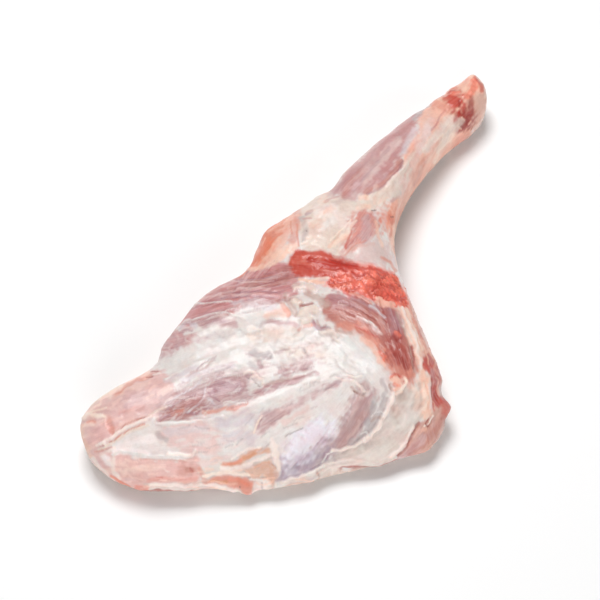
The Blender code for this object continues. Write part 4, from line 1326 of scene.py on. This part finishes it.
def pulled(paint):
    # how far the outline is drawn in or out at every point, in metres
    moved = np.zeros_like(paint.places)
    for pixel, radius, (right, down) in pulls.values():
        away = np.hypot(*(paint.photo - pixel).T) / radius
        share = np.clip(1 - away**2 / 4, 0, 1) ** 2 * paint.seen
        moved += share[:, None] * (photoRight * right - photoUp * down) * skin["millimetresPerPixel"] * mm
    return moved


def sculpt(mesh, paint):
    # raises the strokes, lumps and fibres along the normals; hollows are painted with shade, darker and
    # redder, and ridges with a painted highlight, paler
    places = paint.places / mm
    fibre, lumps = paint.make[:, 3], paint.make[:, 5]
    swellDepth, swellLength, swellSeed = skin["swell"]
    rise = paint.raised + swellDepth * noiseAt(places, swellLength, swellSeed)
    for depth, length, seed in skin["lumps"]:
        rise += lumps * depth * noiseAt(places, length, seed)
    rise += fibre * skin["fibreDepth"] * paint.strands
    above = cavities(mesh, rise)
    # painted shade in the hollows and painted highlight on the ridges
    shade = np.outer(np.clip(above, -skin["deepestHollow"], 0.0), skin["hollowShade"])
    shade += np.outer(np.clip(above, 0.0, skin["highestRidge"]), skin["ridgeLight"])
    paint.make[:, :3] = np.clip(paint.make[:, :3] * (1 + shade), 0.0, 1.0)
    resting = softStep(places[:, 2] / skin["restingHeight"])
    moved = paint.places + paint.normals * (rise * resting * mm)[:, None] + pulled(paint)
    moved[:, 2] = np.maximum(moved[:, 2], 0.0)
    moved = np.clip(moved, np.array(solidLow), np.array(solidHigh))
    mesh.vertices.foreach_set("co", moved.astype(np.float32).ravel())
    mesh.update()


finish = {
    "strand": (0.10, 1.1, 1.0),  # fibres per millimetre, along and across
    "bundle": (0.035, 0.33, 1.0),
    "mottle": 9.0,  # millimetres
    "grain": 1.1,
    "strandDark": -1.5,  # how much the strands darken and lighten the tissue
    "strandLight": 0.9,
    "darkTint": "#C48E8E",
    "lightTint": "#F6E9E5",
    "warmTint": "#F0D2CA",
    "mottleFrom": 0.42,
    "mottleTo": 0.75,
    "mottleMost": 0.35,
    "grainFrom": 0.35,
    "grainTo": 0.65,
    "grainDark": 0.975,
    "grainLight": 1.02,
    "dryRoughness": 0.62,
    "glossRoughness": -0.42,  # what full gloss takes from it
    "mottleRoughness": 0.24,
    "grainRelief": 0.12,
    "bumpStrength": 0.55,
    "bumpDistance": 0.5,  # millimetres
    "ior": 1.38,  # watery tissue
    "specular": 0.3,
    "scatter": 0.15,
    "scatterRadius": (1.0, 0.4, 0.25),
    "scatterDepth": 3,  # millimetres
    "film": 0.22,  # the film of moisture
    "filmRoughness": 0.13,
}


def tissueMaterial():
    # Raw meat: wet muscle fibres, fat and silverskin under a thin film of moisture, which gives
    # a satin surface with small soft highlights and a little light scattered under it.
    material = bpy.data.materials.new("moistRawLamb")
    material.use_nodes = True
    tree = material.node_tree
    shader = tree.nodes["Principled BSDF"]
    tissue = addNode(tree, "ShaderNodeAttribute", {"attribute_name": "tissue"})
    fibre = addNode(tree, "ShaderNodeAttribute", {"attribute_name": "fibre"})
    gloss = addNode(tree, "ShaderNodeAttribute", {"attribute_name": "gloss"})
    flow = addNode(tree, "ShaderNodeUVMap", {"uv_map": "fibreFlow"})
    place = addNode(tree, "ShaderNodeTexCoord")
    patterns = {}
    for name, detail in (("strand", 3.0), ("bundle", 2.0)):
        along = addNode(
            tree, "ShaderNodeMapping", {}, {"Vector": flow.outputs["UV"], "Scale": finish[name]}
        )
        patterns[name] = addNode(
            tree, "ShaderNodeTexNoise", {}, {"Vector": along.outputs[0], "Scale": 1.0, "Detail": detail}
        )
    for name, detail in (("mottle", 4.0), ("grain", 2.0)):
        scale = 1 / (finish[name] * mm)
        patterns[name] = addNode(
            tree,
            "ShaderNodeTexNoise",
            {},
            {"Vector": place.outputs["Object"], "Scale": scale, "Detail": detail},
        )
    strand, bundle, mottle, grain = (pattern.outputs[0] for pattern in patterns.values())
    both = addNode(tree, "ShaderNodeMath", {"operation": "ADD"}, {0: strand, 1: bundle})
    centred = addNode(tree, "ShaderNodeMath", {"operation": "SUBTRACT"}, {0: both.outputs[0], 1: 1.0})
    strength = addNode(
        tree, "ShaderNodeMath", {"operation": "MULTIPLY"}, {0: centred.outputs[0], 1: fibre.outputs["Fac"]}
    )
    darker, lighter = (
        addNode(
            tree,
            "ShaderNodeMath",
            {"operation": "MULTIPLY", "use_clamp": True},
            {0: strength.outputs[0], 1: finish[name]},
        )
        for name in ("strandDark", "strandLight")
    )
    patch = addNode(
        tree,
        "ShaderNodeMapRange",
        {},
        {
            "Value": mottle,
            "From Min": finish["mottleFrom"],
            "From Max": finish["mottleTo"],
            "To Max": finish["mottleMost"],
        },
    )
    speckle = addNode(
        tree,
        "ShaderNodeMapRange",
        {},
        {
            "Value": grain,
            "From Min": finish["grainFrom"],
            "From Max": finish["grainTo"],
            "To Min": finish["grainDark"],
            "To Max": finish["grainLight"],
        },
    )
    colour = tissue.outputs["Color"]
    for amount, blend, tint in (
        (darker, "MULTIPLY", "darkTint"),
        (lighter, "MIX", "lightTint"),
        (patch, "MULTIPLY", "warmTint"),
    ):
        mixed = addNode(
            tree,
            "ShaderNodeMix",
            {"data_type": "RGBA", "blend_type": blend},
            {0: amount.outputs[0], 6: colour, 7: linearColour(finish[tint])},
        )
        colour = mixed.outputs[2]
    final = addNode(
        tree, "ShaderNodeVectorMath", {"operation": "SCALE"}, {0: colour, "Scale": speckle.outputs[0]}
    )
    tree.links.new(final.outputs[0], shader.inputs["Base Color"])
    wetness = addNode(
        tree,
        "ShaderNodeMath",
        {"operation": "MULTIPLY_ADD"},
        {0: gloss.outputs["Fac"], 1: finish["glossRoughness"], 2: finish["dryRoughness"]},
    )
    uneven = addNode(
        tree,
        "ShaderNodeMath",
        {"operation": "MULTIPLY_ADD"},
        {0: mottle, 1: finish["mottleRoughness"], 2: wetness.outputs[0]},
    )
    rough = addNode(
        tree,
        "ShaderNodeMath",
        {"operation": "SUBTRACT"},
        {0: uneven.outputs[0], 1: finish["mottleRoughness"] / 2},
    )
    tree.links.new(rough.outputs[0], shader.inputs["Roughness"])
    relief = addNode(
        tree,
        "ShaderNodeMath",
        {"operation": "MULTIPLY_ADD"},
        {0: grain, 1: finish["grainRelief"], 2: strength.outputs[0]},
    )
    bump = addNode(
        tree,
        "ShaderNodeBump",
        {},
        {
            "Height": relief.outputs[0],
            "Strength": finish["bumpStrength"],
            "Distance": finish["bumpDistance"] * mm,
        },
    )
    tree.links.new(bump.outputs[0], shader.inputs["Normal"])
    for name, value in {
        "IOR": finish["ior"],
        "Specular IOR Level": finish["specular"],
        "Subsurface Weight": finish["scatter"],
        "Subsurface Radius": finish["scatterRadius"],
        "Subsurface Scale": finish["scatterDepth"] * mm,
        "Coat Weight": finish["film"],
        "Coat Roughness": finish["filmRoughness"],
    }.items():
        shader.inputs[name].default_value = value
    return material


def buildSkin():
    piece = roundedSkin()
    mesh = piece.data
    places = np.zeros(len(mesh.vertices) * 3, np.float32)
    mesh.vertices.foreach_get("co", places)
    normals = np.zeros(len(mesh.vertices) * 3, np.float32)
    mesh.vertex_normals.foreach_get("vector", normals)
    paint = Paint(places.reshape(-1, 3).astype(float), normals.reshape(-1, 3).astype(float))
    print("skin remeshed:", len(mesh.vertices), "points")
    paint.hiddenSides()
    for row in areas.values():
        paint.area(*row)
    for row in allStrokes:
        paint.stroke(*row)
    draw = np.random.default_rng(skin["fibreSeed"])
    for place, tissue, count, *shape in strayFibres:
        outline = np.array(fibrePlaces[place] if place in fibrePlaces else areas[place][3], float)
        for _ in range(count):
            paint.strayFibre(draw, outline, tissue, *shape)
    paint.clots()
    paint.weather()
    print("tissues laid:", len(areas), "areas and", len(allStrokes), "strokes")
    fibreFlow(mesh, paint)
    sculpt(mesh, paint)
    colours = np.column_stack([paint.make[:, :3], np.ones(len(paint.make))])
    tissue = mesh.color_attributes.new(name="tissue", type="FLOAT_COLOR", domain="POINT")
    tissue.data.foreach_set("color", colours.astype(np.float32).ravel())
    for column, name in ((3, "fibre"), (4, "gloss")):
        layer = mesh.attributes.new(name=name, type="FLOAT", domain="POINT")
        layer.data.foreach_set("value", paint.make[:, column].astype(np.float32))
    mesh.materials.clear()
    mesh.materials.append(tissueMaterial())
    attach(piece, "root")
    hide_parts("lamb_shoulder")
    triangles = sum(len(face.vertices) - 2 for face in mesh.polygons)
    print("skin finished:", triangles, "triangles")


buildSkin()
